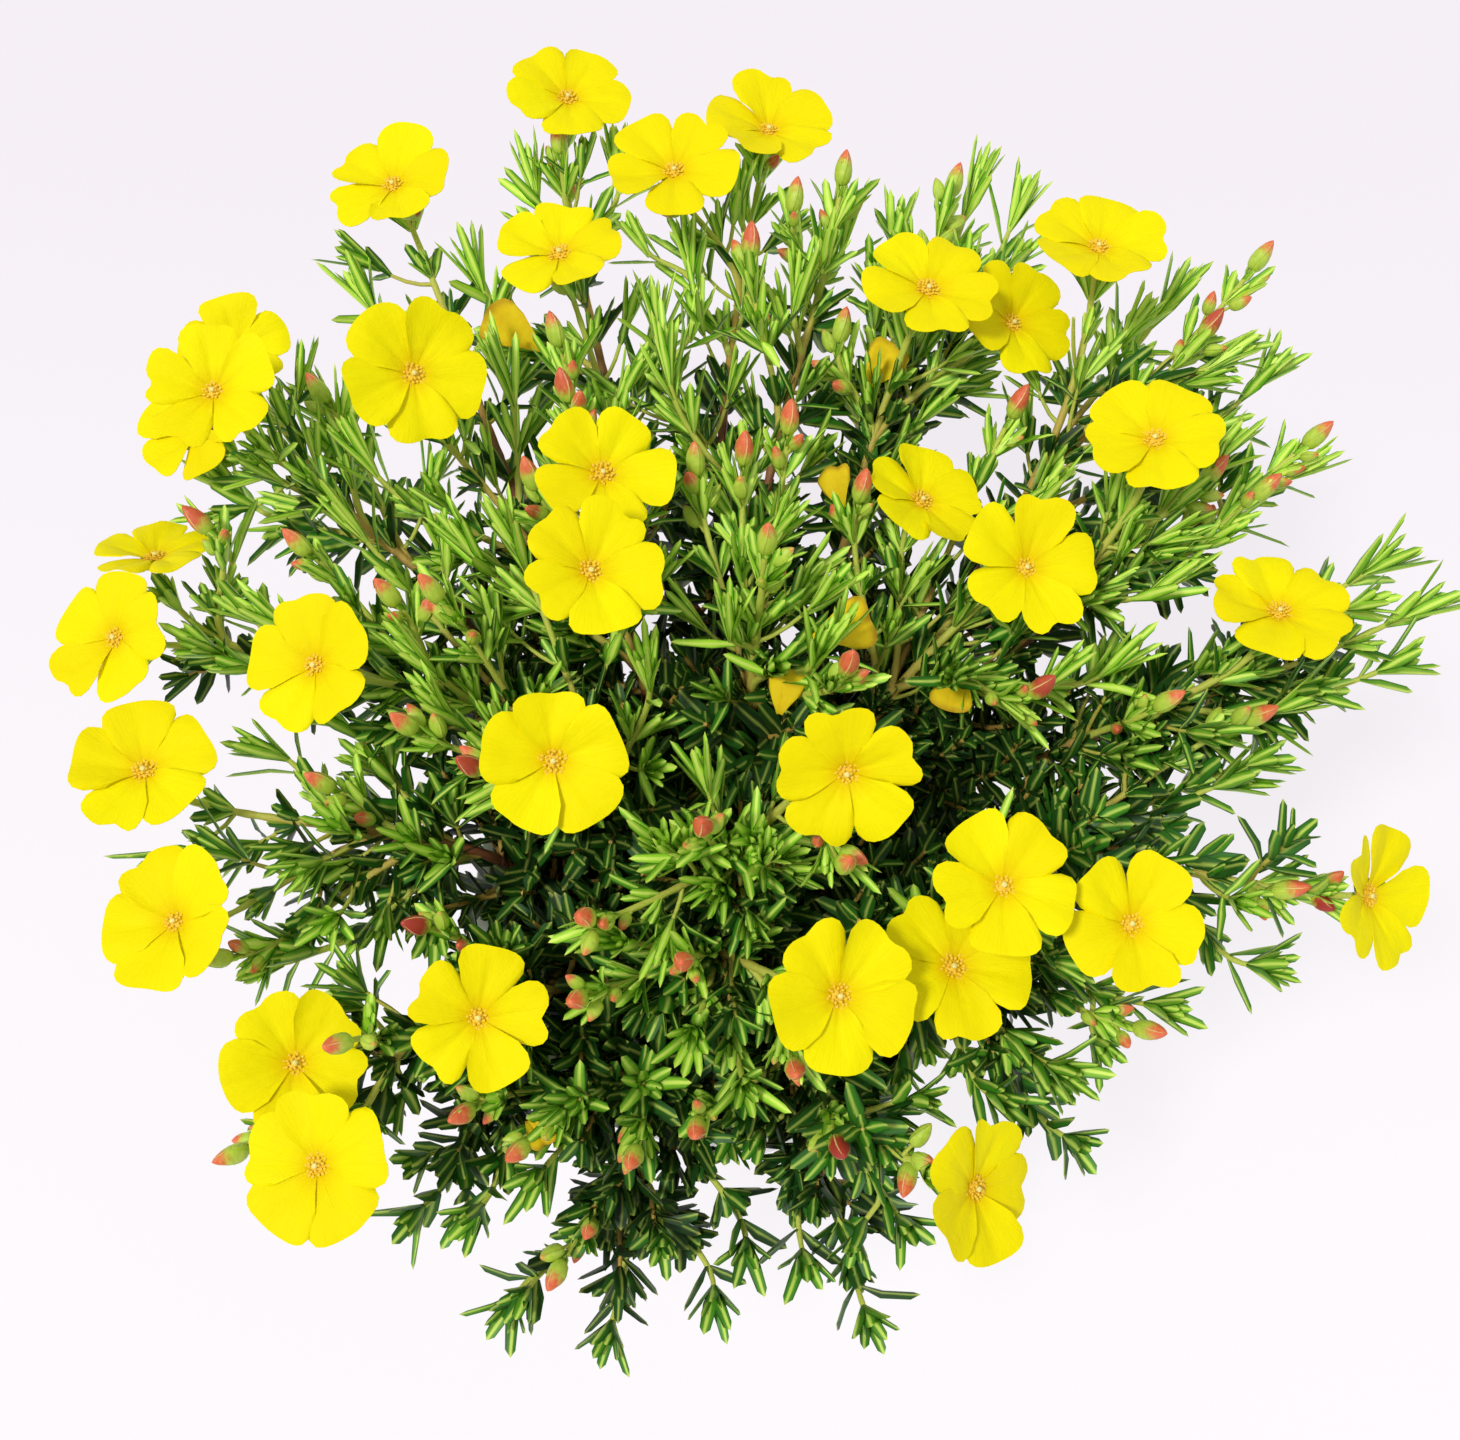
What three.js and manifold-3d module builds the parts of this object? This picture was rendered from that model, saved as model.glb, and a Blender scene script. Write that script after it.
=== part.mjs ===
// A bushy evergreen halimium in a plain round pot: yellow five-petalled flowers and red and green
// buds on leafy shoots. The shoots grow on from brown limbs, which spread from one trunk that
// stands in the compost. Millimetres, +Z up. The origin is the middle of the pot's underside, and the
// side that is nearest in the photograph faces -Y.

import * as THREE from "three";
import { mergeVertices } from "three/addons/utils/BufferGeometryUtils.js";
import Module from "manifold-3d";

const wasm = await Module();
wasm.setup();

// Pot and compost
const POT_HEIGHT = 125;
const POT_RIM_RADIUS = 75;
const POT_FOOT_RADIUS = 53;
const POT_WALL = 2;
const RIM_BAND_HEIGHT = 14;
const RIM_BAND_STEP = 2;
const RIM_BAND_TAPER = 0.4;
const POT_SIDES = 20;
const DRAIN_COUNT = 6;
const DRAIN_RADIUS = 4.5;
const DRAIN_CIRCLE_RADIUS = 36;
const DRAIN_SIDES = 8;
const SOIL_LEVEL = 113;
const SOIL_ROUGHNESS = 1.6;
const SOIL_EDGE_DROP = 2;
const SOIL_RING_SHARES = [0.8, 0.5, 0.22];
const LUMPS_ACROSS = 0.23;
const LUMPS_ALONG = 0.19;
const LUMPS_ASLANT = 0.31;
const SEAT_GAP = 0.3;

// Trunk, limbs and green stems
const TRUNK_RADIUS = 4.6;
const TRUNK_DEPTH = 40;
const TRUNK_TOP = 128;
const TRUNK_SIDES = 8;
const TRUNK_FOOT_SHARE = 0.9;
const TRUNK_TOP_SHARE = 0.6;
const TRUNK_COLLAR_HEIGHT = 3;
const LIMB_STARTS = [118.5, 124.5];
const LIMB_RADII = [2.7, 1.7];
const LIMB_SIDES = 4;
const LIMB_STEPS = 3;
const LIMB_RISE = 0.45;
const BRANCH_RADII = [1.9, 1.5];
const BRANCH_SIDES = 4;
const BRANCH_STEPS = 2;
const STEM_RADII = [1.5, 1.1];
const TWIG_RADII = [1.15, 0.95];
const TWIG_SIDES = 3;
const SPRAY_REACH = 0.5;
const SHOOTS_POINT_FROM = new THREE.Vector3(0, 0, 60);
const FORK_ANGLE = THREE.MathUtils.degToRad(38);
const EARLIEST_BRANCH = 0.25;
const EARLIEST_FORK = 0.05;
const LATEST_FORK = 0.72;
const FORK_STEPS = 40;
const HANDLE_SHARE = 0.36;
const STEEP_CHORD = 0.8;
const STEM_STEP = 14;
const TWIG_STEP = 50;
const ROOT_SHARE = 0.5;

// Flowers, buds and leaves
const BOSS_HEIGHT = 3.4;
const BOSS_RADIUS = 3.2;
const CALYX_RADIUS = 1.9;
const CALYX_HEIGHT = 4;
const PETAL_COUNT = 5;
const PETAL_THICKNESS = 0.75;
const PETAL_REACHES = [0.95, 1];
const PETAL_CUPS = [0.42, 0.6];
const PETAL_FALL = 0.42;
const BUD_LENGTH = 10;
const BUD_RADIUS = 2.7;
const BUD_BELLY_SIDES = 6;
const BUD_BELLY_SHARE = 0.4;
const SIDE_BUD_WIDTH_SHARE = 0.8;
const SIDE_BUD_BELLY_SHARE = 0.55;
const SIDE_BUD_TIP_SHARE = 1.05;
const SIDE_BUD_SPREAD = 0.6;
const SHOOT_TIP_BACK = 13;
const LEAF_LENGTHS = [15, 22];
const LEAF_WIDTHS = [2.7, 3.4];
const LEAF_THICKNESS = 0.95;
const LEAF_WIDEST_SHARE = 0.48;
const LEAF_DROOP = 0.08;
const LEAF_LEAN = Math.PI / 6;
const LEAF_ROOT_LENGTH = 1.8;
const LEAF_PAIR_GAP = 15;
const LEAF_PAIRS = { leafy: 2, buds: 1, bloom: 1 };
const FIRST_PAIR = { leafy: 5, buds: LEAF_ROOT_LENGTH / 2, bloom: 15 };
const BARE_FOOT = 7;
const LEAF_SPREADS = { leafy: 0.28, buds: 0.9, bloom: 0.4 };
const WIDER_SPREAD_PER_LENGTH = 0.016;

// Room that is kept round each piece, and the step between the points that mark it
const CLEARANCE = 0.5;
const MARK_STEP = 2.5;
const PETAL_MARK_STEP = 3.4;
const PETAL_MARK_RADIUS = 1.9;
const PETAL_MARK_DEPTH = 0.4;
const POT_MARGIN = 3;
const POT_HEADROOM = 1;
const BEND_TRIES = 24;
const LEAST_BEND = 3;
const BEND_STEP = 2.2;
const BEND_MIDDLES = [0.5, 0.5, 0.4];
const LATE_BEND_SHARE = 0.5;
const NUDGES = [0, 0.3, -0.3, 0.6, -0.6];
const OPENINGS = [0, 0.25];

// Seeds, each the first of a run of seeds
const CUP_SEED = 9000;
const PETAL_SEED = 7000;
const LEAF_SEED = 20000;
const SEEDS_PER_SPRAY = 100;

// The photograph's view: its frame's middle and its focal length in pixels, and the lens
const PHOTO_MIDDLE_ACROSS = 730;
const PHOTO_MIDDLE_DOWN = 720;
const PHOTO_FOCAL_PIXELS = 1900;
const LENS_DISTANCE = 500;
const LENS_DOWNWARD = THREE.MathUtils.degToRad(65);
const LENS_AIM = new THREE.Vector3(0, 19, 200);

const RIGHT = new THREE.Vector3(1, 0, 0);
const BACK = new THREE.Vector3(0, 1, 0);
const UP = new THREE.Vector3(0, 0, 1);

const lensForward = new THREE.Vector3(0, Math.cos(LENS_DOWNWARD), -Math.sin(LENS_DOWNWARD));
const lensUp = new THREE.Vector3(0, Math.sin(LENS_DOWNWARD), Math.cos(LENS_DOWNWARD));
const lensPlace = LENS_AIM.clone().addScaledVector(lensForward, -LENS_DISTANCE);

// The point at a height above the ground that shows at a pixel of the photograph
function onPhoto(across, down, height) {
  const ray = lensForward.clone().multiplyScalar(PHOTO_FOCAL_PIXELS);
  ray.addScaledVector(RIGHT, across - PHOTO_MIDDLE_ACROSS);
  ray.addScaledVector(lensUp, PHOTO_MIDDLE_DOWN - down);
  return lensPlace.clone().addScaledVector(ray, (height - lensPlace.z) / ray.z);
}

// Shoot tips, each placed by its pixel in the photograph and its height above the ground

// A flower leans right and towards the viewer by degrees, and has a petal at the turn
function bloom(across, down, height, leanRight, leanNear, turn, width) {
  const slopeRight = Math.tan(THREE.MathUtils.degToRad(leanRight));
  const slopeNear = Math.tan(THREE.MathUtils.degToRad(leanNear));
  const facing = new THREE.Vector3(slopeRight, -slopeNear, 1).normalize();
  const place = onPhoto(across, down, height);
  return { kind: "bloom", place, facing, turn: THREE.MathUtils.degToRad(turn), width };
}

function outward(place) {
  return place.clone().sub(SHOOTS_POINT_FROM).normalize();
}

function leafy(across, down, height) {
  const place = onPhoto(across, down, height);
  return { kind: "leafy", place, facing: outward(place) };
}

function buds(across, down, height, count) {
  const place = onPhoto(across, down, height);
  return { kind: "buds", place, facing: outward(place), count };
}

// Limbs, each a list of sprays, and each spray a list of tips with its leading one first
const LIMBS = [
  [
    [
      bloom(568, 96, 213, 10, -5, 134, 36.6),
      bloom(559, 251, 224, -7, -6, 85, 35.3),
      leafy(525, 152, 200),
      buds(557, 138, 204, 2),
      leafy(465, 243, 196),
      leafy(612, 140, 202),
    ],
    [
      bloom(769, 128, 216, 8, -10, 100, 38.4),
      bloom(674, 169, 227, -3, -2, 128, 37.8),
      leafy(652, 286, 214),
      leafy(742, 172, 204),
      leafy(688, 226, 206),
    ],
    [
      buds(844, 168, 214, 2),
      buds(794, 195, 218, 3),
      buds(752, 240, 226, 3),
      leafy(850, 200, 202),
      leafy(800, 262, 212),
      leafy(664, 330, 220),
    ],
  ],
  [
    [
      bloom(392, 183, 210, -10, -1, 73, 37.1),
      bloom(414, 373, 240, 22, 20, 64, 38.4),
      leafy(350, 268, 190),
      leafy(345, 432, 205),
      leafy(490, 340, 214),
    ],
    [
      bloom(212, 390, 230, -1, 8, 98, 36.2),
      bloom(235, 351, 206, 5, 15, 28, 31.9),
      bloom(193, 430, 195, -18, 7, 223, 32),
      leafy(308, 380, 192),
      buds(318, 388, 202, 2),
      leafy(205, 462, 184),
    ],
    [
      bloom(155, 555, 187, -5, -36, 169, 31.8),
      bloom(113, 637, 190, -22, 15, 78, 36.8),
      leafy(185, 512, 186),
      leafy(215, 592, 184),
      buds(196, 520, 203, 1),
      buds(297, 541, 206, 2),
    ],
  ],
  [
    [
      bloom(603, 472, 232, 12, 5, 67, 36.1),
      bloom(591, 570, 244, 16, 10, 68, 35.4),
      buds(530, 474, 224, 1),
      buds(564, 385, 222, 2),
      buds(555, 329, 216, 1),
      leafy(456, 523, 222),
    ],
    [
      bloom(313, 665, 212, -19, 15, 97, 36.1),
      buds(430, 587, 230, 2),
      buds(386, 592, 220, 1),
      leafy(400, 640, 218),
      leafy(250, 604, 196),
      leafy(330, 500, 206),
    ],
    [
      bloom(553, 761, 227, 5, 27, 94, 35.3),
      leafy(496, 512, 232),
      buds(469, 763, 220, 2),
      buds(403, 722, 212, 1),
      leafy(420, 690, 212),
      leafy(640, 655, 226),
    ],
  ],
  [
    [
      bloom(143, 769, 198, -3, -3, 101, 37.2),
      bloom(173, 921, 192, -16, 7, 114, 37.9),
      leafy(240, 738, 188),
      buds(319, 782, 194, 2),
      buds(214, 957, 180, 1),
      leafy(268, 950, 176),
      leafy(300, 700, 196),
    ],
    [
      bloom(295, 1063, 180, 12, 11, 124, 36.1),
      bloom(315, 1166, 190, -12, 13, 90, 37.2),
      bloom(478, 1018, 196, 11, 22, 77, 34.9),
      buds(336, 1044, 202, 2),
      buds(231, 1155, 162, 1),
      buds(415, 925, 196, 2),
      leafy(452, 1236, 158),
      leafy(388, 1236, 148),
    ],
  ],
  [
    [
      leafy(598, 1366, 128),
      leafy(490, 1336, 132),
      leafy(712, 1330, 132),
      leafy(748, 1278, 138),
      buds(555, 1275, 146, 2),
      buds(632, 1158, 170, 2),
      buds(461, 1115, 176, 1),
      buds(517, 1152, 172, 1),
      leafy(520, 1196, 164),
      leafy(545, 1126, 176),
    ],
    [
      bloom(840, 996, 216, 18, 19, 50, 37.1),
      leafy(745, 1098, 184),
      buds(796, 1069, 196, 1),
      buds(683, 961, 208, 1),
      buds(576, 1000, 200, 2),
      leafy(612, 940, 204),
      leafy(690, 1040, 196),
    ],
    [
      bloom(978, 1189, 178, 44, 23, 67, 36.4),
      leafy(880, 1350, 132),
      leafy(812, 1290, 138),
      leafy(920, 1250, 148),
      buds(918, 1172, 168, 2),
      buds(840, 1148, 176, 1),
      buds(696, 1130, 178, 1),
    ],
  ],
  [
    [
      bloom(847, 774, 232, -4, 46, 98, 36),
      leafy(657, 836, 224),
      buds(702, 825, 228, 1),
      buds(847, 863, 222, 2),
      leafy(770, 850, 226),
      buds(584, 918, 214, 2),
    ],
    [
      bloom(1004, 885, 219, 4, 6, 51, 35.8),
      bloom(954, 966, 202, 9, 4, 64, 38.3),
      bloom(1132, 924, 206, 7, 10, 60, 34.7),
      leafy(1193, 1010, 172),
      buds(1150, 1030, 172, 2),
      leafy(1104, 1158, 150),
      leafy(1022, 1112, 164),
      leafy(1088, 1078, 172),
    ],
    [
      bloom(1371, 896, 195, 42, 21, 71, 36.4),
      leafy(1300, 966, 168),
      leafy(1334, 886, 182),
      buds(1290, 889, 188, 1),
      leafy(1262, 770, 168),
      buds(1261, 714, 182, 1),
      leafy(1290, 748, 168),
    ],
  ],
  [
    [
      bloom(1280, 610, 208, 0, -12, 101, 36.1),
      leafy(1410, 546, 182),
      leafy(1452, 592, 184),
      leafy(1428, 650, 176),
      buds(1170, 700, 192, 2),
      leafy(1320, 690, 180),
    ],
    [
      bloom(1155, 437, 232, -8, -3, 56, 36.5),
      buds(1318, 434, 200, 2),
      buds(1267, 487, 200, 2),
      buds(1215, 470, 208, 1),
      leafy(1240, 432, 202),
      leafy(1190, 560, 206),
    ],
    [
      bloom(1027, 567, 214, 14, 14, 148, 37.8),
      bloom(923, 499, 206, 20, -8, 89, 33.4),
      buds(863, 486, 214, 1),
      buds(1019, 401, 212, 1),
      leafy(1060, 470, 206),
      leafy(1075, 660, 208),
      leafy(1140, 645, 203),
      buds(1042, 685, 210, 2),
    ],
  ],
  [
    [
      bloom(929, 287, 226, 10, -4, 129, 37.8),
      bloom(1014, 322, 208, 25, 6, 62, 36.4),
      leafy(984, 157, 198),
      buds(955, 180, 204, 3),
      leafy(902, 204, 194),
      leafy(1028, 182, 194),
      buds(842, 325, 214, 2),
    ],
    [
      bloom(1099, 245, 226, 3, -10, 73, 36.6),
      leafy(1188, 272, 192),
      leafy(1150, 300, 198),
      buds(1262, 256, 204, 3),
      buds(1212, 323, 198, 2),
      leafy(1288, 350, 186),
    ],
    [
      buds(767, 538, 240, 2),
      buds(744, 448, 224, 1),
      buds(696, 459, 222, 2),
      buds(790, 417, 220, 1),
      leafy(823, 630, 234),
      buds(850, 662, 236, 2),
      leafy(730, 600, 228),
    ],
  ],
];

const DRAW_RANGE = 2 ** 32;
const DRAW_START = 40503;
const DRAW_FACTOR = 1664525;
const DRAW_STEP = 1013904223;

// Repeatable draws from 0 to 1, which start again from each seed
function seededDraws(seed) {
  let state = (seed * DRAW_START) % DRAW_RANGE;
  return () => {
    state = (state * DRAW_FACTOR + DRAW_STEP) % DRAW_RANGE;
    return state / DRAW_RANGE;
  };
}

function between(low, high, share) {
  return low + (high - low) * share;
}

// Solids and their joins

const MERGE_DISTANCE = 1e-4;

function solidFrom(geometry) {
  const bare = geometry.clone();
  bare.deleteAttribute("normal");
  bare.deleteAttribute("uv");
  const merged = mergeVertices(bare, MERGE_DISTANCE);
  return new wasm.Manifold(new wasm.Mesh({
    numProp: 3,
    vertProperties: new Float32Array(merged.attributes.position.array),
    triVerts: new Uint32Array(merged.index.array),
  }));
}

function geometryFrom(solid) {
  const mesh = solid.getMesh();
  const geometry = new THREE.BufferGeometry();
  geometry.setAttribute("position", new THREE.BufferAttribute(mesh.vertProperties, 3));
  geometry.setIndex(new THREE.BufferAttribute(mesh.triVerts, 1));
  geometry.computeVertexNormals();
  return geometry;
}

// A closed skin that grows ring by ring. A ring turns anticlockwise round the way that the
// rings follow each other, and its points are kept as places in the list of points.
class Skin {
  constructor() {
    this.points = [];
    this.triangles = [];
  }

  add(points) {
    const first = this.points.length;
    this.points.push(...points);
    return points.map((_, i) => first + i);
  }

  startCap(ring) {
    for (let i = 1; i < ring.length - 1; i += 1) {
      this.triangles.push([ring[0], ring[i + 1], ring[i]]);
    }
  }

  endCap(ring) {
    for (let i = 1; i < ring.length - 1; i += 1) {
      this.triangles.push([ring[0], ring[i], ring[i + 1]]);
    }
  }

  // Joins two rings face by face, but for the open faces. The higher ring may be one point, or
  // have twice the points of the lower.
  band(low, high, openFaces = []) {
    for (let i = 0; i < low.length; i += 1) {
      const next = (i + 1) % low.length;
      if (openFaces.includes(i)) continue;
      if (high.length === 1) {
        this.triangles.push([low[i], low[next], high[0]]);
      } else if (high.length === low.length) {
        this.triangles.push([low[i], low[next], high[next]], [low[i], high[next], high[i]]);
      } else {
        const start = 2 * i;
        const end = (2 * i + 2) % high.length;
        this.triangles.push([low[i], low[next], high[start + 1]]);
        this.triangles.push([low[i], high[start + 1], high[start]]);
        this.triangles.push([low[next], high[end], high[start + 1]]);
      }
    }
  }

  geometry() {
    const geometry = new THREE.BufferGeometry().setFromPoints(this.points);
    geometry.setIndex(this.triangles.flat());
    geometry.computeVertexNormals();
    return geometry;
  }
}

function ringPoints(centre, first, second, radius, sides) {
  const points = [];
  for (let i = 0; i < sides; i += 1) {
    const angle = (i / sides) * 2 * Math.PI;
    const point = centre.clone().addScaledVector(first, radius * Math.cos(angle));
    points.push(point.addScaledVector(second, radius * Math.sin(angle)));
  }
  return points;
}

// Two directions square to a curve at a share of its length, steady along the whole curve
function crossAxes(curve, share) {
  const forward = curve.getTangentAt(share);
  const chord = curve.getPointAt(1).sub(curve.getPointAt(0)).normalize();
  const reference = Math.abs(chord.z) > STEEP_CHORD ? RIGHT : UP;
  const second = forward.clone().cross(reference).normalize();
  const first = second.clone().cross(forward).normalize();
  return { forward, first, second };
}

function ringOn(curve, share, radius, sides) {
  const { first, second } = crossAxes(curve, share);
  return ringPoints(curve.getPointAt(share), first, second, radius, sides);
}

// A bare tapering stem along a curve
function woodSolid(curve, radii, sides, steps) {
  const skin = new Skin();
  let low = skin.add(ringOn(curve, 0, radii[0] * ROOT_SHARE, sides));
  skin.startCap(low);
  for (let step = 1; step <= steps; step += 1) {
    const share = step / steps;
    const high = skin.add(ringOn(curve, share, between(radii[0], radii[1], share), sides));
    skin.band(low, high);
    low = high;
  }
  skin.endCap(low);
  return solidFrom(skin.geometry());
}

// Marks: points along or over each piece, with the room that it takes round them

const marks = [];

function pointsAlong(curve) {
  return curve.getSpacedPoints(Math.ceil(curve.getLength() / MARK_STEP));
}

function pointsBetween(start, end) {
  const points = [];
  const count = Math.ceil(start.distanceTo(end) / MARK_STEP);
  for (let i = 0; i <= count; i += 1) points.push(start.clone().lerp(end, i / count));
  return points;
}

function addMarks(points, radius, owner) {
  for (const point of points) marks.push({ point, radius, owner });
}

// The least room between some points and every piece that isn't on the list of close relatives
function roomAround(points, radius, relatives) {
  let least = Infinity;
  for (const point of points) {
    if (Math.hypot(point.x, point.y) < POT_RIM_RADIUS + POT_MARGIN) {
      least = Math.min(least, point.z - radius - POT_HEIGHT - POT_HEADROOM);
    }
    for (const mark of marks) {
      if (relatives.includes(mark.owner)) continue;
      least = Math.min(least, mark.point.distanceTo(point) - mark.radius - radius);
    }
  }
  return least;
}

// A flower: five cupped petals round a boss of stamens, with the middle of its back as origin

const PETAL_TURN = (2 * Math.PI) / PETAL_COUNT;

// Each petal's outline, as degrees from its middle and shares of the flower's radius
const PETAL_OUTLINE = [
  [-33.5, 0.62],
  [-23, 0.96],
  [0, 0.95],
  [23, 0.98],
  [33.5, 0.62],
];
const PETAL_MIDDLE_SHARE = 0.6;
const PETAL_DISH = 0.5;
const PETAL_WAVE = 0.7;

function petalHeight(share, width, cup) {
  return BOSS_HEIGHT / 2 + (width / 2) * cup * (share - PETAL_FALL * share * share);
}

function bloomCup(index) {
  return between(PETAL_CUPS[0], PETAL_CUPS[1], seededDraws(CUP_SEED + index)());
}

function bloomGeometry(tip, index) {
  const draw = seededDraws(PETAL_SEED + index);
  const cup = bloomCup(index);
  const skin = new Skin();
  const spot = (angle, radius, height) => {
    const point = new THREE.Vector3(radius * Math.cos(angle), radius * Math.sin(angle), height);
    return skin.add([point])[0];
  };
  const seat = [];
  const brim = [];
  for (let i = 0; i < PETAL_COUNT; i += 1) {
    const angle = tip.turn + PETAL_TURN * (i - 0.5);
    seat.push(spot(angle, CALYX_RADIUS, 0));
    brim.push(spot(angle, BOSS_RADIUS, BOSS_HEIGHT / 2));
  }
  skin.startCap(seat);
  skin.band(brim, [spot(0, 0, BOSS_HEIGHT)]);
  for (let i = 0; i < PETAL_COUNT; i += 1) {
    const next = (i + 1) % PETAL_COUNT;
    const middle = tip.turn + PETAL_TURN * i;
    const reach = (tip.width / 2) * between(PETAL_REACHES[0], PETAL_REACHES[1], draw());
    const upper = [brim[i]];
    const lower = [seat[i]];
    for (const [degrees, share] of PETAL_OUTLINE) {
      const angle = middle + THREE.MathUtils.degToRad(degrees);
      const height = petalHeight(share, tip.width, cup) + between(-1, 1, draw()) * PETAL_WAVE;
      upper.push(spot(angle, reach * share, height));
      lower.push(spot(angle, reach * share, height - PETAL_THICKNESS));
    }
    upper.push(brim[next]);
    lower.push(seat[next]);
    const dished = petalHeight(PETAL_MIDDLE_SHARE, tip.width, cup) - PETAL_DISH;
    const upperMiddle = spot(middle, reach * PETAL_MIDDLE_SHARE, dished);
    const lowerMiddle = spot(middle, reach * PETAL_MIDDLE_SHARE, dished - PETAL_THICKNESS);
    skin.band(upper, [upperMiddle]);
    skin.band([...lower].reverse(), [lowerMiddle]);
    for (let j = 0; j + 1 < upper.length; j += 1) {
      skin.triangles.push([upper[j], lower[j], lower[j + 1]], [upper[j], lower[j + 1], upper[j + 1]]);
    }
  }
  return skin.geometry();
}

// The turn that carries the flower's own axes to the way that it faces
function bloomTurn(facing) {
  const across = RIGHT.clone().addScaledVector(facing, -RIGHT.dot(facing)).normalize();
  const along = facing.clone().cross(across);
  const axes = new THREE.Matrix4().makeBasis(across, along, facing);
  return new THREE.Quaternion().setFromRotationMatrix(axes);
}

function bloomSeat(tip) {
  return tip.place.clone().addScaledVector(tip.facing, -BOSS_HEIGHT);
}

// Points over the petals, close enough together to keep leaves out of them
function markBloom(tip, index) {
  const turn = bloomTurn(tip.facing);
  const points = [];
  for (let radius = 0; radius < tip.width / 2; radius += PETAL_MARK_STEP) {
    const count = Math.max(1, Math.round((2 * Math.PI * radius) / PETAL_MARK_STEP));
    for (let i = 0; i < count; i += 1) {
      const angle = (i / count) * 2 * Math.PI;
      const share = radius / (tip.width / 2);
      const height = petalHeight(share, tip.width, bloomCup(index)) - PETAL_MARK_DEPTH;
      const point = new THREE.Vector3(radius * Math.cos(angle), radius * Math.sin(angle), height);
      points.push(point.applyQuaternion(turn).add(bloomSeat(tip)));
    }
  }
  addMarks(points, PETAL_MARK_RADIUS, tip.owner);
}

// Growth: where limbs, branches, stems and twigs run

function meanOf(points) {
  const sum = new THREE.Vector3();
  for (const point of points) sum.add(point);
  return sum.divideScalar(points.length);
}

function archedCurve(start, end, startWay, endWay, bow = new THREE.Vector3()) {
  const handle = start.distanceTo(end) * HANDLE_SHARE;
  const first = start.clone().addScaledVector(startWay, handle).add(bow);
  const second = end.clone().addScaledVector(endWay, -handle).addScaledVector(bow, LATE_BEND_SHARE);
  return new THREE.CubicBezierCurve3(start, first, second, end);
}

// The first of some seeded bows that runs clear of every other piece, or the roomiest of them
function clearCurve(start, end, startWay, endWay, radius, relatives, seed) {
  const draw = seededDraws(seed);
  let best = null;
  for (let attempt = 0; attempt < BEND_TRIES; attempt += 1) {
    const bow = new THREE.Vector3(...BEND_MIDDLES.map((middle) => draw() - middle));
    bow.multiplyScalar(LEAST_BEND + BEND_STEP * attempt);
    const curve = archedCurve(start, end, startWay, endWay, bow);
    const room = roomAround(pointsAlong(curve), radius, relatives);
    if (best === null || room > best.room) best = { curve, room };
    if (room > CLEARANCE) break;
  }
  return best;
}

// Where a side twig leaves its stem, so that it forks at a natural angle
function forkShare(stem, place) {
  let nearest = { share: 0, distance: Infinity };
  for (let i = 0; i <= FORK_STEPS; i += 1) {
    const share = i / FORK_STEPS;
    const distance = stem.getPointAt(share).distanceTo(place);
    if (distance < nearest.distance) nearest = { share, distance };
  }
  const setBack = nearest.distance / Math.tan(FORK_ANGLE) / stem.getLength();
  return THREE.MathUtils.clamp(nearest.share - setBack, EARLIEST_FORK, LATEST_FORK);
}

function forkedCurve(stem, end, endWay, radius, relatives, seed) {
  const share = forkShare(stem, end);
  const start = stem.getPointAt(share);
  const chord = end.clone().sub(start).normalize();
  const startWay = stem.getTangentAt(share).add(chord).normalize();
  return clearCurve(start, end, startWay, endWay, radius, relatives, seed);
}

// A twig of three faces, with what grows out of them

// The leaves' joints, as lengths back from the tip, the closest to the tip first
function jointPlaces(kind, length) {
  const places = [];
  for (let i = 0; i < LEAF_PAIRS[kind]; i += 1) {
    const place = FIRST_PAIR[kind] + i * LEAF_PAIR_GAP;
    if (place < length - BARE_FOOT) places.push(place);
  }
  return places;
}

// What grows out of a face: its root, its way, and the directions across it and over it
function outgrowth(curve, share, sideAngle, spread) {
  const { forward, first, second } = crossAxes(curve, share);
  const side = first.clone().multiplyScalar(Math.cos(sideAngle));
  side.addScaledVector(second, Math.sin(sideAngle));
  const way = forward.clone().multiplyScalar(Math.cos(spread));
  way.addScaledVector(side, Math.sin(spread));
  const across = forward.clone().cross(side).normalize();
  return { root: curve.getPointAt(share), way, across, over: way.clone().cross(across) };
}

// A keeled blade out of the face with the given corners
function addLeaf(skin, corners, growth, length, width) {
  const [lowLeft, lowRight, highRight, highLeft] = corners;
  const middle = growth.root.clone().addScaledVector(growth.way, length * LEAF_WIDEST_SHARE);
  const tip = growth.root.clone().addScaledVector(growth.way, length);
  tip.addScaledVector(growth.over, -LEAF_DROOP * length);
  const [left, keel, right, end] = skin.add([
    middle.clone().addScaledVector(growth.across, -width / 2),
    middle.clone().addScaledVector(growth.over, -LEAF_THICKNESS),
    middle.clone().addScaledVector(growth.across, width / 2),
    tip,
  ]);
  skin.triangles.push([lowLeft, lowRight, keel], [lowRight, highRight, right]);
  skin.triangles.push([lowRight, right, keel], [highRight, highLeft, left]);
  skin.triangles.push([highRight, left, right], [highLeft, lowLeft, keel]);
  skin.triangles.push([highLeft, keel, left]);
  skin.triangles.push([keel, right, end], [right, left, end], [left, keel, end]);
}

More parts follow.
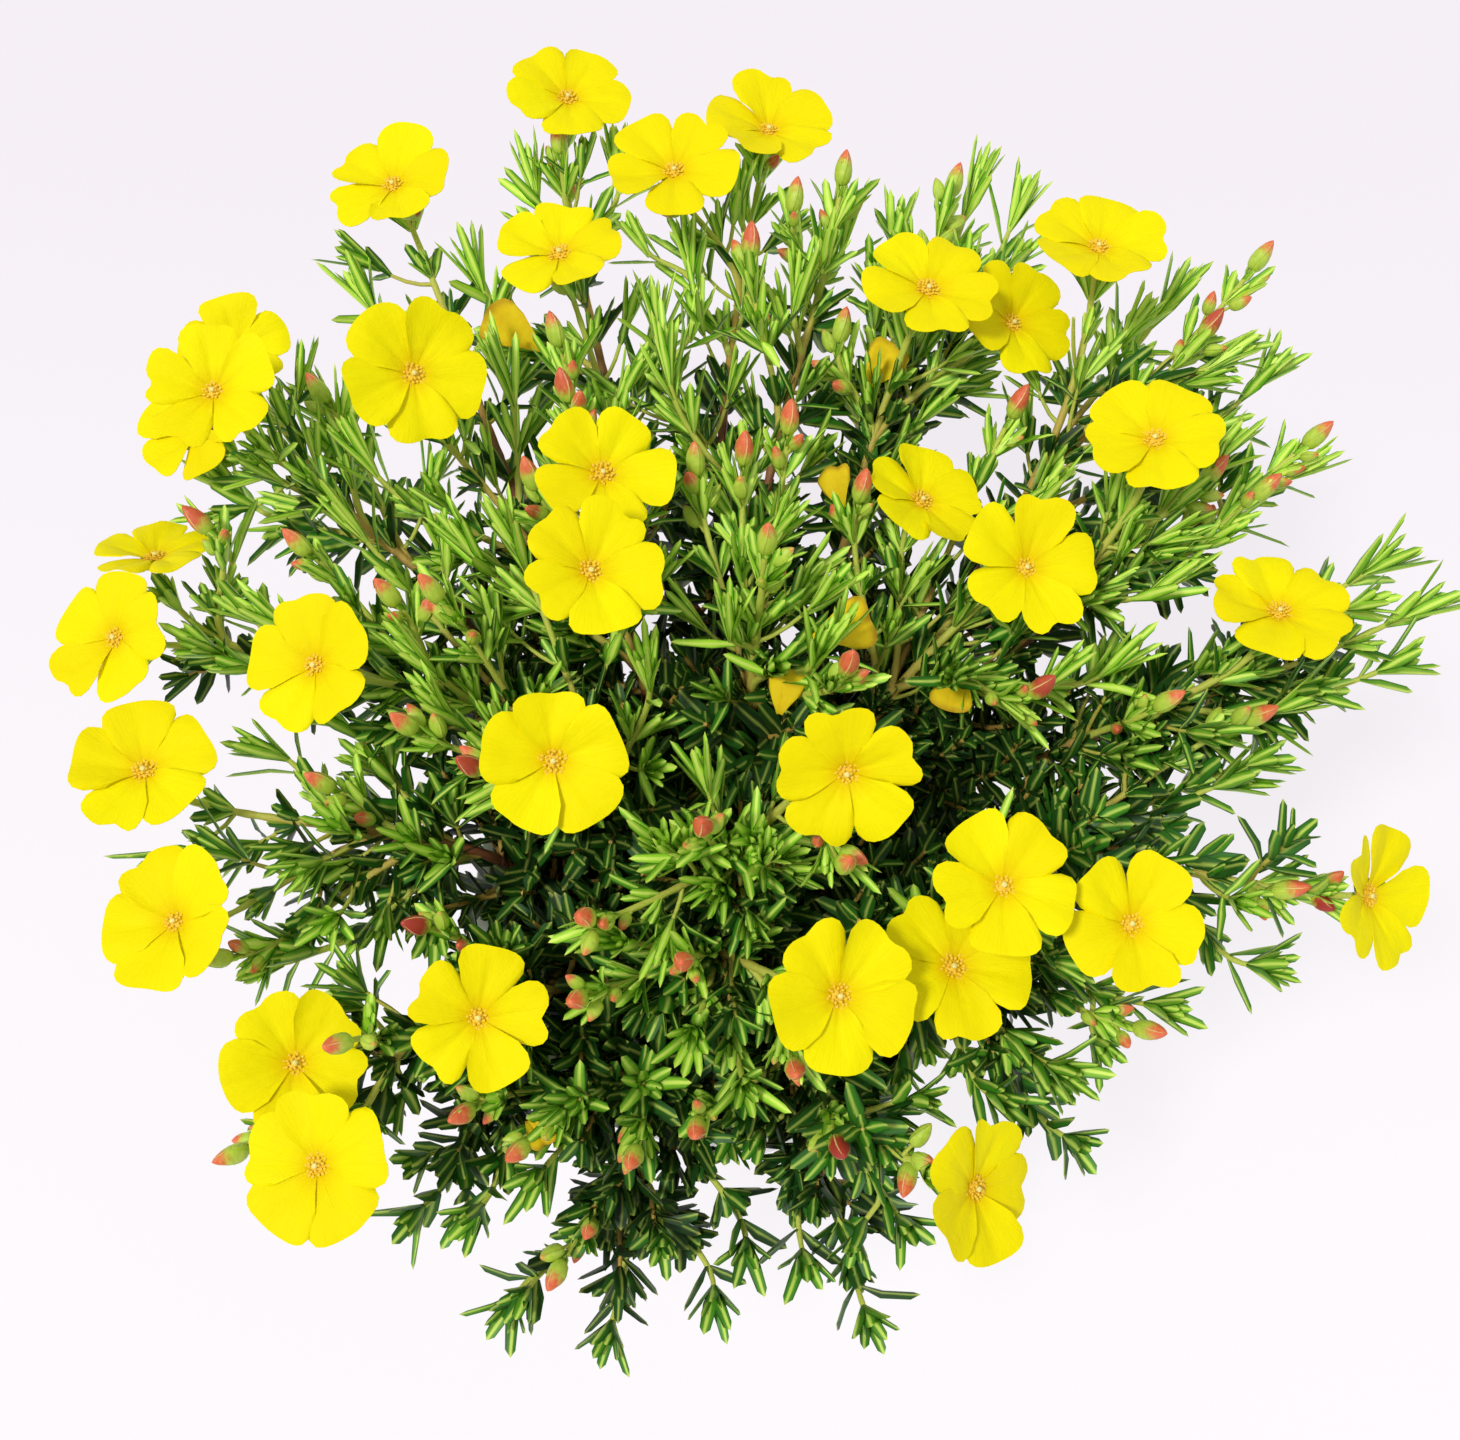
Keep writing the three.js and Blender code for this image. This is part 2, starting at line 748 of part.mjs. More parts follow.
// A small bud out of the face with the given corners
function addSideBud(skin, corners, growth) {
  const wide = growth.root.clone().addScaledVector(growth.way, BUD_LENGTH * SIDE_BUD_BELLY_SHARE);
  const tip = growth.root.clone().addScaledVector(growth.way, BUD_LENGTH * SIDE_BUD_TIP_SHARE);
  const half = BUD_RADIUS * SIDE_BUD_WIDTH_SHARE * Math.SQRT1_2;
  const spot = (across, over) => {
    const point = wide.clone().addScaledVector(growth.across, across * half);
    return point.addScaledVector(growth.over, over * half);
  };
  const belly = skin.add([spot(-1, -1), spot(1, -1), spot(1, 1), spot(-1, 1)]);
  skin.band(corners, belly);
  skin.band(belly, skin.add([tip]));
}

// A nudge round the twig with which an outgrowth is clear of every other piece, or null
function findRoom(curve, share, sideAngle, spread, length, radius, relatives) {
  for (const nudge of NUDGES) {
    for (const opening of OPENINGS) {
      const growth = outgrowth(curve, share, sideAngle + nudge, spread + opening);
      const end = growth.root.clone().addScaledVector(growth.way, length);
      const points = pointsBetween(growth.root, end).slice(1);
      if (roomAround(points, radius, relatives) > CLEARANCE) return { growth, points };
    }
  }
  return null;
}

// The angle round the twig at which a face looks out
function faceAngle(face) {
  return ((face + 0.5) / TWIG_SIDES) * 2 * Math.PI;
}

// Grows leaves out of two faces at a joint, and perhaps a bud out of the third
function growJoint(skin, curve, share, spread, low, high, plan) {
  const open = [];
  for (const [turn, lean] of [[0, -LEAF_LEAN], [1, LEAF_LEAN]]) {
    const face = (plan.firstFace + turn) % TWIG_SIDES;
    const length = between(LEAF_LENGTHS[0], LEAF_LENGTHS[1], plan.draw());
    const width = between(LEAF_WIDTHS[0], LEAF_WIDTHS[1], plan.draw());
    const sideAngle = faceAngle(face) + lean;
    const found = findRoom(curve, share, sideAngle, spread, length, width / 2, [plan.owner]);
    if (found === null) continue;
    const next = (face + 1) % TWIG_SIDES;
    addLeaf(skin, [low[face], low[next], high[next], high[face]], found.growth, length, width);
    addMarks(found.points, width / 2, plan.owner);
    open.push(face);
  }
  if (plan.sideBuds > 0) {
    const face = (plan.firstFace + 2) % TWIG_SIDES;
    const room = [BUD_LENGTH, BUD_RADIUS, [plan.owner]];
    const found = findRoom(curve, share, faceAngle(face), SIDE_BUD_SPREAD, ...room);
    if (found !== null) {
      const next = (face + 1) % TWIG_SIDES;
      addSideBud(skin, [low[face], low[next], high[next], high[face]], found.growth);
      addMarks(found.points, BUD_RADIUS, plan.owner);
      open.push(face);
      plan.sideBuds -= 1;
    }
  }
  return open;
}

function growTwig(curve, tip, radii, longestStep, owner, seed) {
  const skin = new Skin();
  const length = curve.getLength();
  const draw = seededDraws(seed);
  const plan = { owner, draw, firstFace: Math.floor(draw() * TWIG_SIDES), sideBuds: 0 };
  if (tip.kind === "buds") plan.sideBuds = tip.count - 1;
  const radiusAt = (share) => between(radii[0], radii[1], share);
  const half = LEAF_ROOT_LENGTH / 2 / length;
  let low = skin.add(ringOn(curve, 0, radii[0] * ROOT_SHARE, TWIG_SIDES));
  let reached = 0;
  skin.startCap(low);
  const grownTo = (share, radius, openFaces) => {
    const high = skin.add(ringOn(curve, share, radius, TWIG_SIDES));
    skin.band(low, high, openFaces);
    low = high;
    reached = share;
  };
  const bareTo = (share) => {
    const steps = Math.ceil(((share - reached) * length) / longestStep);
    const start = reached;
    for (let step = 1; step <= steps; step += 1) {
      const stop = between(start, share, step / steps);
      grownTo(stop, radiusAt(stop), []);
    }
  };
  for (const fromTip of jointPlaces(tip.kind, length).reverse()) {
    const share = 1 - fromTip / length;
    bareTo(share - half);
    const high = skin.add(ringOn(curve, share + half, radiusAt(share), TWIG_SIDES));
    const spread = LEAF_SPREADS[tip.kind] + fromTip * WIDER_SPREAD_PER_LENGTH;
    const open = growJoint(skin, curve, share, spread, low, high, plan);
    skin.band(low, high, open);
    low = high;
    reached = share + half;
    plan.firstFace += 1;
  }
  const endWay = curve.getTangentAt(1);
  if (tip.kind === "leafy") {
    skin.band(low, skin.add([curve.getPointAt(1)]));
  } else if (tip.kind === "bloom") {
    bareTo(1 - CALYX_HEIGHT / length);
    grownTo(1, CALYX_RADIUS, []);
    skin.endCap(low);
  } else {
    bareTo(1);
    const { first, second } = crossAxes(curve, 1);
    const wide = curve.getPointAt(1).addScaledVector(endWay, BUD_LENGTH * BUD_BELLY_SHARE);
    const belly = skin.add(ringPoints(wide, first, second, BUD_RADIUS, BUD_BELLY_SIDES));
    skin.band(low, belly);
    skin.band(belly, skin.add([curve.getPointAt(1).addScaledVector(endWay, BUD_LENGTH)]));
  }
  return solidFrom(skin.geometry());
}

// Where a twig ends: at a flower's back, under a bud, or within a leafy shoot's last leaves
function twigEnd(tip) {
  if (tip.kind === "bloom") return bloomSeat(tip).addScaledVector(tip.facing, -SEAT_GAP);
  const back = tip.kind === "buds" ? BUD_LENGTH / 2 : SHOOT_TIP_BACK;
  return tip.place.clone().addScaledVector(tip.facing, -back);
}

// Materials, in the colours of the photograph

function finish(color, roughness) {
  return new THREE.MeshStandardMaterial({ color, roughness, metalness: 0, flatShading: true });
}

const POT_FINISH = finish(0xe6e7e6, 0.45);
const SOIL_FINISH = finish(0x3a2a20, 0.95);
const BARK_FINISH = finish(0x6a3b25, 0.8);
const LEAF_FINISH = finish(0x3c8f2c, 0.5);
const PETAL_FINISH = finish(0xf7e713, 0.6);

const group = new THREE.Group();

function addNode(name, geometry, material) {
  const mesh = new THREE.Mesh(geometry, material);
  mesh.name = name;
  group.add(mesh);
  return mesh;
}

// Pot and compost, each a profile of radius and height turned round the upright axis

function turned(profile) {
  const points = profile.map(([radius, height]) => new THREE.Vector2(radius, height));
  return new THREE.LatheGeometry(points, POT_SIDES).rotateX(Math.PI / 2);
}

function potOuterRadius(height) {
  return between(POT_FOOT_RADIUS, POT_RIM_RADIUS - RIM_BAND_STEP, height / POT_HEIGHT);
}

function potSolid() {
  const bandFoot = POT_HEIGHT - RIM_BAND_HEIGHT;
  let pot = solidFrom(turned([
    [0, 0],
    [POT_FOOT_RADIUS, 0],
    [potOuterRadius(bandFoot), bandFoot],
    [POT_RIM_RADIUS - RIM_BAND_TAPER, bandFoot],
    [POT_RIM_RADIUS, POT_HEIGHT],
    [potOuterRadius(POT_HEIGHT) - POT_WALL, POT_HEIGHT],
    [POT_FOOT_RADIUS - POT_WALL, POT_WALL],
    [0, POT_WALL],
  ]));
  for (let i = 0; i < DRAIN_COUNT; i += 1) {
    const angle = ((i + 0.5) / DRAIN_COUNT) * 2 * Math.PI;
    const drain = new THREE.CylinderGeometry(DRAIN_RADIUS, DRAIN_RADIUS, 4 * POT_WALL, DRAIN_SIDES);
    drain.rotateX(Math.PI / 2);
    drain.translate(
      DRAIN_CIRCLE_RADIUS * Math.cos(angle),
      DRAIN_CIRCLE_RADIUS * Math.sin(angle),
      0,
    );
    pot = pot.subtract(solidFrom(drain));
  }
  return pot;
}

// The trunk, or with extra room round it the hole that it stands in
function trunkSolid(extra) {
  const skin = new Skin();
  const levels = [
    [SOIL_LEVEL - TRUNK_DEPTH - extra, TRUNK_RADIUS * TRUNK_FOOT_SHARE],
    [SOIL_LEVEL + TRUNK_COLLAR_HEIGHT, TRUNK_RADIUS],
    [TRUNK_TOP, TRUNK_RADIUS * TRUNK_TOP_SHARE],
  ];
  const rings = levels.map(([height, radius]) => {
    const centre = new THREE.Vector3(0, 0, height);
    return skin.add(ringPoints(centre, RIGHT, BACK, radius + extra, TRUNK_SIDES));
  });
  skin.startCap(rings[0]);
  skin.band(rings[0], rings[1]);
  skin.band(rings[1], rings[2]);
  skin.endCap(rings[2]);
  return solidFrom(skin.geometry());
}

function soilSolid() {
  const innerRadius = (height) => potOuterRadius(height) - POT_WALL - SEAT_GAP;
  const geometry = turned([
    [0, POT_WALL + SEAT_GAP],
    [POT_FOOT_RADIUS - POT_WALL - SEAT_GAP, POT_WALL + SEAT_GAP],
    [innerRadius(SOIL_LEVEL - SOIL_EDGE_DROP), SOIL_LEVEL - SOIL_EDGE_DROP],
    ...SOIL_RING_SHARES.map((share) => [innerRadius(SOIL_LEVEL) * share, SOIL_LEVEL]),
    [0, SOIL_LEVEL],
  ]);
  const places = geometry.attributes.position;
  for (let i = 0; i < places.count; i += 1) {
    const x = places.getX(i);
    const y = places.getY(i);
    const crossing = Math.sin(x * LUMPS_ACROSS + 1) * Math.cos(y * LUMPS_ALONG);
    const lumps = crossing + Math.sin((x - y) * LUMPS_ASLANT);
    if (places.getZ(i) > SOIL_LEVEL - SOIL_EDGE_DROP / 2) {
      places.setZ(i, SOIL_LEVEL + (SOIL_ROUGHNESS / 2) * lumps);
    }
  }
  return solidFrom(geometry).subtract(trunkSolid(SEAT_GAP));
}

addNode("pot", geometryFrom(potSolid()), POT_FINISH);
addNode("soil", geometryFrom(soilSolid()), SOIL_FINISH);

// The brown framework: the trunk, a limb to the middle spray of each group, and branches that
// fork from it to the sprays on either side

const woodSolids = [trunkSolid(0)];
const sprays = [];

function plantSpray(tips, base, way) {
  const name = `leafy_spray_${String(sprays.length + 1).padStart(2, "0")}`;
  sprays.push({ name, tips, base: base.clone().addScaledVector(way, SEAT_GAP), way });
}

LIMBS.forEach((limb, index) => {
  const crown = new THREE.Vector3(0, 0, LIMB_STARTS[index % 2]);
  const middles = limb.map((tips) => meanOf(tips.map((tip) => tip.place)));
  const bases = middles.map((middle) => crown.clone().lerp(middle, SPRAY_REACH));
  const ways = bases.map(outward);
  const flat = bases[1].clone().setZ(crown.z).sub(crown).normalize();
  const startWay = flat.addScaledVector(UP, LIMB_RISE).normalize();
  const limbCurve = archedCurve(crown, bases[1], startWay, ways[1]);
  woodSolids.push(woodSolid(limbCurve, LIMB_RADII, LIMB_SIDES, LIMB_STEPS));
  addMarks(pointsAlong(limbCurve), LIMB_RADII[0], "woody_stems");
  limb.forEach((tips, i) => {
    plantSpray(tips, bases[i], ways[i]);
    if (i === 1) return;
    const share = Math.max(EARLIEST_BRANCH, forkShare(limbCurve, bases[i]));
    const start = limbCurve.getPointAt(share);
    const forkWay = limbCurve.getTangentAt(share).add(bases[i].clone().sub(start).normalize());
    const branch = archedCurve(start, bases[i], forkWay.normalize(), ways[i]);
    woodSolids.push(woodSolid(branch, BRANCH_RADII, BRANCH_SIDES, BRANCH_STEPS));
    addMarks(pointsAlong(branch), BRANCH_RADII[0], "woody_stems");
  });
});
addNode("woody_stems", geometryFrom(wasm.Manifold.union(woodSolids)), BARK_FINISH);

// The flowers, numbered in the order of the lists

const blooms = sprays.flatMap((spray) => spray.tips.filter((tip) => tip.kind === "bloom"));
blooms.forEach((tip, index) => {
  tip.owner = `bloom_${String(index + 1).padStart(2, "0")}`;
  markBloom(tip, index);
  const flower = addNode(tip.owner, bloomGeometry(tip, index), PETAL_FINISH);
  flower.position.copy(bloomSeat(tip));
  flower.quaternion.copy(bloomTurn(tip.facing));
});

// The green stems: first where every stem and twig runs, so that leaves then keep clear of all

sprays.forEach((spray, index) => {
  const lead = spray.tips[0];
  const relatives = [spray.name, "woody_stems", lead.owner];
  const seed = SEEDS_PER_SPRAY * (index + 1);
  const { base, way } = spray;
  const found = clearCurve(base, twigEnd(lead), way, lead.facing, STEM_RADII[0], relatives, seed);
  spray.twigs = [found.curve];
  addMarks(pointsAlong(found.curve), STEM_RADII[0], spray.name);
});

sprays.forEach((spray, index) => {
  spray.tips.slice(1).forEach((tip, place) => {
    const relatives = [spray.name, "woody_stems", tip.owner];
    const seed = SEEDS_PER_SPRAY * (index + 1) + place + 1;
    const end = twigEnd(tip);
    const found = forkedCurve(spray.twigs[0], end, tip.facing, TWIG_RADII[0], relatives, seed);
    spray.twigs.push(found.curve);
    addMarks(pointsAlong(found.curve), TWIG_RADII[0], spray.name);
  });
});

sprays.forEach((spray, index) => {
  const solids = spray.tips.map((tip, place) => {
    const seed = LEAF_SEED + SEEDS_PER_SPRAY * index + place;
    if (place === 0) return growTwig(spray.twigs[0], tip, STEM_RADII, STEM_STEP, spray.name, seed);
    return growTwig(spray.twigs[place], tip, TWIG_RADII, TWIG_STEP, spray.name, seed);
  });
  addNode(spray.name, geometryFrom(wasm.Manifold.union(solids)), LEAF_FINISH);
});

export default group;
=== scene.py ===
# A bushy evergreen halimium in a plain round pot: yellow five-petalled flowers and red and green
# buds on leafy shoots, which grow on from brown limbs. The middle of the pot's underside is the
# origin, and the side that is nearest in the photograph faces -Y. Lengths are in millimetres,
# and each mesh is brought to metres as it is built.

import math

import bpy
import numpy as np
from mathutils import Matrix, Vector, noise


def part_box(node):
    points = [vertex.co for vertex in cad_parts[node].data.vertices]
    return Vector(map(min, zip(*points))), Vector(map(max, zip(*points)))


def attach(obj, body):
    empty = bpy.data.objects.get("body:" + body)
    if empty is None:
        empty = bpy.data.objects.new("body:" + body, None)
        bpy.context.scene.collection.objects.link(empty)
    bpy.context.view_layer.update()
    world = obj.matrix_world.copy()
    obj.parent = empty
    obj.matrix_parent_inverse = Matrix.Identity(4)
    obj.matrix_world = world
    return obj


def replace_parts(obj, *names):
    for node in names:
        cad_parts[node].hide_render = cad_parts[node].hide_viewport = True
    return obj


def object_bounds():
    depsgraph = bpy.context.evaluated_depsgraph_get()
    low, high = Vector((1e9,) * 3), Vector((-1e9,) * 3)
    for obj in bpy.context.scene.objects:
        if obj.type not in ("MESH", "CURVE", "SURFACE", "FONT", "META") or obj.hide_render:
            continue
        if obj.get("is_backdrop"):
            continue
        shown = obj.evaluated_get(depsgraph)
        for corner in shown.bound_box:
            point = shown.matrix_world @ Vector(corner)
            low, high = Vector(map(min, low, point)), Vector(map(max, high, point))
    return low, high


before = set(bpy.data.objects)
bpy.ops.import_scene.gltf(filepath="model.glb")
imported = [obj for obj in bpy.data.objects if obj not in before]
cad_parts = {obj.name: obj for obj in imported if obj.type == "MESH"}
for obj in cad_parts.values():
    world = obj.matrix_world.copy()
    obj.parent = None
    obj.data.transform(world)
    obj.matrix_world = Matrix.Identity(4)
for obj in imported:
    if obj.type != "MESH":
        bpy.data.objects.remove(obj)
frame_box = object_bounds()

# Pot: one moulding of white plastic with a band round its rim, a flat foot and six drain holes.
# It carries all the rest. Its radius and height come from the frame.

MM = 0.001
POT_FOOT_RADIUS = 53
POT_WALL = 2
POT_CORNER_RADIUS = 0.7
FOOT_RING_WIDTH = 5
FOOT_RECESS = 1.2
RIM_BAND_HEIGHT = 14
RIM_BAND_STEP = 2
RIM_BAND_LEAN = 0.4
DRAIN_COUNT = 6
DRAIN_RADIUS = 4.5
DRAIN_CIRCLE_RADIUS = 36
DRAIN_SIDES = 24
POT_SIDES = 120
NEAR_AXIS = 0.01
pot_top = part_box("pot")[1] / MM
POT_HEIGHT = pot_top.z
POT_RIM_RADIUS = pot_top.x


def between(low, high, share):
    return low + (high - low) * share


def colour(code):
    """The linear colour of a six-figure screen colour."""
    shares = [int(code[i : i + 2], 16) / 255 for i in (0, 2, 4)]
    linear = [s / 12.92 if s <= 0.04045 else ((s + 0.055) / 1.055) ** 2.4 for s in shares]
    return (*linear, 1.0)


class Wire:
    """A number that runs through a material's nodes and can be reckoned with."""

    def __init__(self, finish, socket):
        self.finish = finish
        self.socket = socket

    def reckon(self, operation, first, second=0.0):
        settings = {"operation": operation}
        return self.finish.node("ShaderNodeMath", settings, {0: first, 1: second})

    def __add__(self, other):
        return self.reckon("ADD", self, other)

    __radd__ = __add__

    def __sub__(self, other):
        return self.reckon("SUBTRACT", self, other)

    def __rsub__(self, other):
        return self.reckon("SUBTRACT", other, self)

    def __mul__(self, other):
        return self.reckon("MULTIPLY", self, other)

    __rmul__ = __mul__

    def __abs__(self):
        return self.reckon("ABSOLUTE", self)

    def rise(self, start, stop):
        """0 up to start and 1 from stop, with a smooth rise between them."""
        settings = {"interpolation_type": "SMOOTHSTEP"}
        sockets = {"Value": self, "From Min": start, "From Max": stop}
        return self.finish.node("ShaderNodeMapRange", settings, sockets)


class Finish:
    """A material: its principled shader, and the nodes that vary it over the surface."""

    def __init__(self, name, **fixed):
        self.material = bpy.data.materials.new(name)
        self.material.use_nodes = True
        self.tree = self.material.node_tree
        self.surface = self.tree.nodes["Principled BSDF"]
        for socket, value in fixed.items():
            self.surface.inputs[socket.replace("_", " ")].default_value = value

    def node(self, kind, settings, sockets, output=0):
        """Adds a node with its settings and then its sockets, and gives one of its outputs."""
        made = self.tree.nodes.new(kind)
        for name, value in settings.items():
            setattr(made, name, value)
        for name, value in sockets.items():
            if isinstance(value, Wire):
                self.tree.links.new(value.socket, made.inputs[name])
            else:
                made.inputs[name].default_value = value
        return Wire(self, made.outputs[output])

    def value(self, name):
        """A value that the mesh keeps at each point."""
        return self.node("ShaderNodeAttribute", {"attribute_name": name}, {}, "Fac")

    def place(self, stretch=(1, 1, 1)):
        """The point's place on the object, stretched along its axes."""
        place = self.node("ShaderNodeTexCoord", {}, {}, "Object")
        sockets = {0: place, 1: stretch}
        return self.node("ShaderNodeVectorMath", {"operation": "MULTIPLY"}, sockets)

    def grain(self, size, detail=3.0, stretch=(1, 1, 1)):
        """Soft noise from 0 to 1, with lumps of a size in millimetres."""
        sockets = {"Vector": self.place(stretch), "Scale": 1 / (size * MM), "Detail": detail}
        return self.node("ShaderNodeTexNoise", {}, sockets)

    def blend(self, share, first, second):
        """The first colour where share is 0, and the second where it is 1."""
        sockets = {0: share, 6: first, 7: second}
        return self.node("ShaderNodeMix", {"data_type": "RGBA"}, sockets, 2)

    def bump(self, height, depth):
        """Relief of a depth in millimetres."""
        sockets = {"Strength": 1.0, "Distance": depth * MM, "Height": height}
        return self.node("ShaderNodeBump", {}, sockets)

    def feed(self, **wires):
        """Leads varying values to the shader's sockets."""
        for name, wire in wires.items():
            self.tree.links.new(wire.socket, self.surface.inputs[name.replace("_", " ")])


class Body:
    """Points in millimetres and triangles, with the values that a finish reads at the points."""

    def __init__(self, *finishes):
        self.finishes = finishes
        self.points = []
        self.faces = []
        self.kinds = []
        self.values = {"along": [], "across": [], "age": [], "chance": []}
        self.count = 0

    def add(self, shape, kind=0, **values):
        points, faces = shape
        self.points.append(points)
        self.faces.append(faces + self.count)
        self.kinds.append(np.full(len(faces), kind))
        for name, kept in self.values.items():
            kept.append(np.broadcast_to(values.get(name, 0.0), len(points)))
        self.count += len(points)

    def build(self, name, sharp=180):
        """A piece that rides with the pot, with edges kept sharp past an angle in degrees."""
        mesh = bpy.data.meshes.new(name)
        mesh.from_pydata(np.concatenate(self.points) * MM, [], np.concatenate(self.faces))
        mesh.polygons.foreach_set("material_index", np.concatenate(self.kinds))
        for key, kept in self.values.items():
            layer = mesh.attributes.new(key, "FLOAT", "POINT")
            layer.data.foreach_set("value", np.concatenate(kept).astype(np.float32))
        for finish in self.finishes:
            mesh.materials.append(finish.material)
        mesh.shade_smooth()
        if sharp < 180:
            mesh.set_sharp_from_angle(angle=math.radians(sharp))
        made = bpy.data.objects.new(name, mesh)
        bpy.context.collection.objects.link(made)
        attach(made, "root")
        return made


def skin(rings, start, end):
    """Closed skins over runs of rings, each closed at both ends by a point. A ring turns
    anticlockwise round the way that the rings follow each other."""
    number, count, sides = rings.shape[:3]
    points = np.concatenate([rings.reshape(number, -1, 3), start[:, None], end[:, None]], axis=1)
    side = np.arange(sides)
    beside = (side + 1) % sides
    low = np.arange(count - 1)[:, None] * sides
    last = (count - 1) * sides
    closing = np.full(sides, count * sides)
    corners = [
        (low + side, low + beside, low + beside + sides),
        (low + side, low + beside + sides, low + side + sides),
        (beside, side, closing),
        (last + side, last + beside, closing + 1),
    ]
    faces = np.concatenate([np.stack(three, axis=-1).reshape(-1, 3) for three in corners])
    first = np.arange(number)[:, None, None] * points.shape[1]
    return points.reshape(-1, 3), (faces + first).reshape(-1, 3)


def circle(sides):
    """The cosines and sines of the points of a ring."""
    angles = np.arange(sides) / sides * 2 * math.pi
    return np.cos(angles), np.sin(angles)


def turned(profile, sides):
    """A profile of radius and height, turned round the upright axis."""
    radius, height = np.array(profile, float).T
    cosine, sine = circle(sides)
    rings = np.stack(
        [
            radius[:, None] * cosine,
            radius[:, None] * sine,
            np.repeat(height[:, None], sides, axis=1),
        ],
        axis=-1,
    )
    ends = [np.array([[0, 0, profile[i][1]]], float) for i in (0, -1)]
    return skin(rings[None], *ends)


def eased(corners, radius, steps=4):
    """A profile with its inner corners rounded off."""
    corners = [np.array(corner, float) for corner in corners]
    points = [corners[0]]
    for before, corner, after in zip(corners, corners[1:], corners[2:]):
        arms = [before - corner, after - corner]
        cut = min([radius] + [np.linalg.norm(arm) * 0.45 for arm in arms])
        start, stop = [corner + arm / np.linalg.norm(arm) * cut for arm in arms]
        for i in range(steps + 1):
            share = i / steps
            rest = 1 - share
            points.append(rest**2 * start + 2 * share * rest * corner + share**2 * stop)
    points.append(corners[-1])
    return [tuple(point) for point in points]


def pot_radius(height):
    return between(POT_FOOT_RADIUS, POT_RIM_RADIUS - RIM_BAND_STEP, height / POT_HEIGHT)


white_plastic = Finish("white_plastic", Roughness=0.42)
mottle = white_plastic.grain(14)
speckle = white_plastic.grain(0.5, 2)
dust = white_plastic.grain(40, 5).rise(0.45, 0.8)
plain_white = white_plastic.blend(mottle, colour("e9eae8"), colour("f3f3f0"))
white_plastic.feed(
    Base_Color=white_plastic.blend(dust * 0.35, plain_white, colour("cfc8bb")),
    Roughness=0.38 + 0.16 * mottle + 0.2 * dust,
    Normal=white_plastic.bump(speckle, 0.04),
)

band_foot = POT_HEIGHT - RIM_BAND_HEIGHT
pot_body = Body(white_plastic)
pot_corners = [
    (NEAR_AXIS, FOOT_RECESS),
    (POT_FOOT_RADIUS - FOOT_RING_WIDTH, FOOT_RECESS),
    (POT_FOOT_RADIUS - FOOT_RING_WIDTH - 1, 0),
    (POT_FOOT_RADIUS, 0),
    (pot_radius(band_foot), band_foot),
    (POT_RIM_RADIUS - RIM_BAND_LEAN, band_foot),
    (POT_RIM_RADIUS, POT_HEIGHT),
    (pot_radius(POT_HEIGHT) - POT_WALL, POT_HEIGHT),
    (POT_FOOT_RADIUS - POT_WALL, POT_WALL),
    (NEAR_AXIS, POT_WALL),
]
pot_body.add(turned(eased(pot_corners, POT_CORNER_RADIUS), POT_SIDES))
pot = pot_body.build("pot_white", sharp=40)
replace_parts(pot, "pot")

drain_body = Body(white_plastic)
for i in range(DRAIN_COUNT):
    angle = (i + 0.5) / DRAIN_COUNT * 2 * math.pi
    profile = [(DRAIN_RADIUS, -POT_WALL), (DRAIN_RADIUS, 2 * POT_WALL)]
    points, faces = turned(profile, DRAIN_SIDES)
    aside = DRAIN_CIRCLE_RADIUS * np.array([math.cos(angle), math.sin(angle), 0])
    drain_body.add((points + aside, faces))
drains = drain_body.build("drains")
cut = pot.modifiers.new("drains", "BOOLEAN")
cut.operation = "DIFFERENCE"
cut.object = drains
bpy.context.view_layer.update()
drained = pot.evaluated_get(bpy.context.evaluated_depsgraph_get())
drained_mesh = bpy.data.meshes.new_from_object(drained)
pot.modifiers.clear()
pot.data = drained_mesh
bpy.data.objects.remove(drains)

# Compost: dark peat and bark, filled in round the roots to just under the pot's rim. Loose
# chips and crumbs lie on it, and the trunk stands in a hole at its middle.

SOIL_LEVEL = 113
SOIL_ROUGHNESS = 1.6
SEAT_GAP = 0.3
TRUNK_RADIUS = 4.6
TRUNK_DEPTH = 40
SOIL_SIDES = 96
SOIL_RINGS = 44
CHIP_COUNT = 260
CHIP_SIZES = (0.7, 2.6)
# A chip's outline, as radius and height
CHIP_PROFILE = np.array([(0.5, -0.55), (0.95, -0.2), (1.0, 0.25), (0.55, 0.6)])


def soil_radius(height):
    return pot_radius(height) - POT_WALL - SEAT_GAP


def soil_height(x, y):
    lumps = math.sin(x * 0.23 + 1) * math.cos(y * 0.19) + math.sin((x - y) * 0.31)
    crumbs = noise.noise(Vector((x * 0.45, y * 0.45, 0))) + 0.5 * noise.noise(Vector((x, y, 9)))
    return SOIL_LEVEL + 0.5 * SOIL_ROUGHNESS * lumps + 0.8 * crumbs


dark_compost = Finish("dark_compost", Roughness=0.95, Specular_IOR_Level=0.15)
crumb = dark_compost.grain(2.2, 6)
fibre = dark_compost.grain(0.7, 4, (1, 0.35, 1))
peat = dark_compost.blend(crumb.rise(0.35, 0.7), colour("1d130d"), colour("3d291b"))
bark_chip = dark_compost.blend(fibre, colour("3a2316"), colour("6b4a30"))
dark_compost.feed(
    Base_Color=dark_compost.blend(dark_compost.value("chance"), peat, bark_chip),
    Normal=dark_compost.bump(crumb + 0.4 * fibre, 0.7),
)

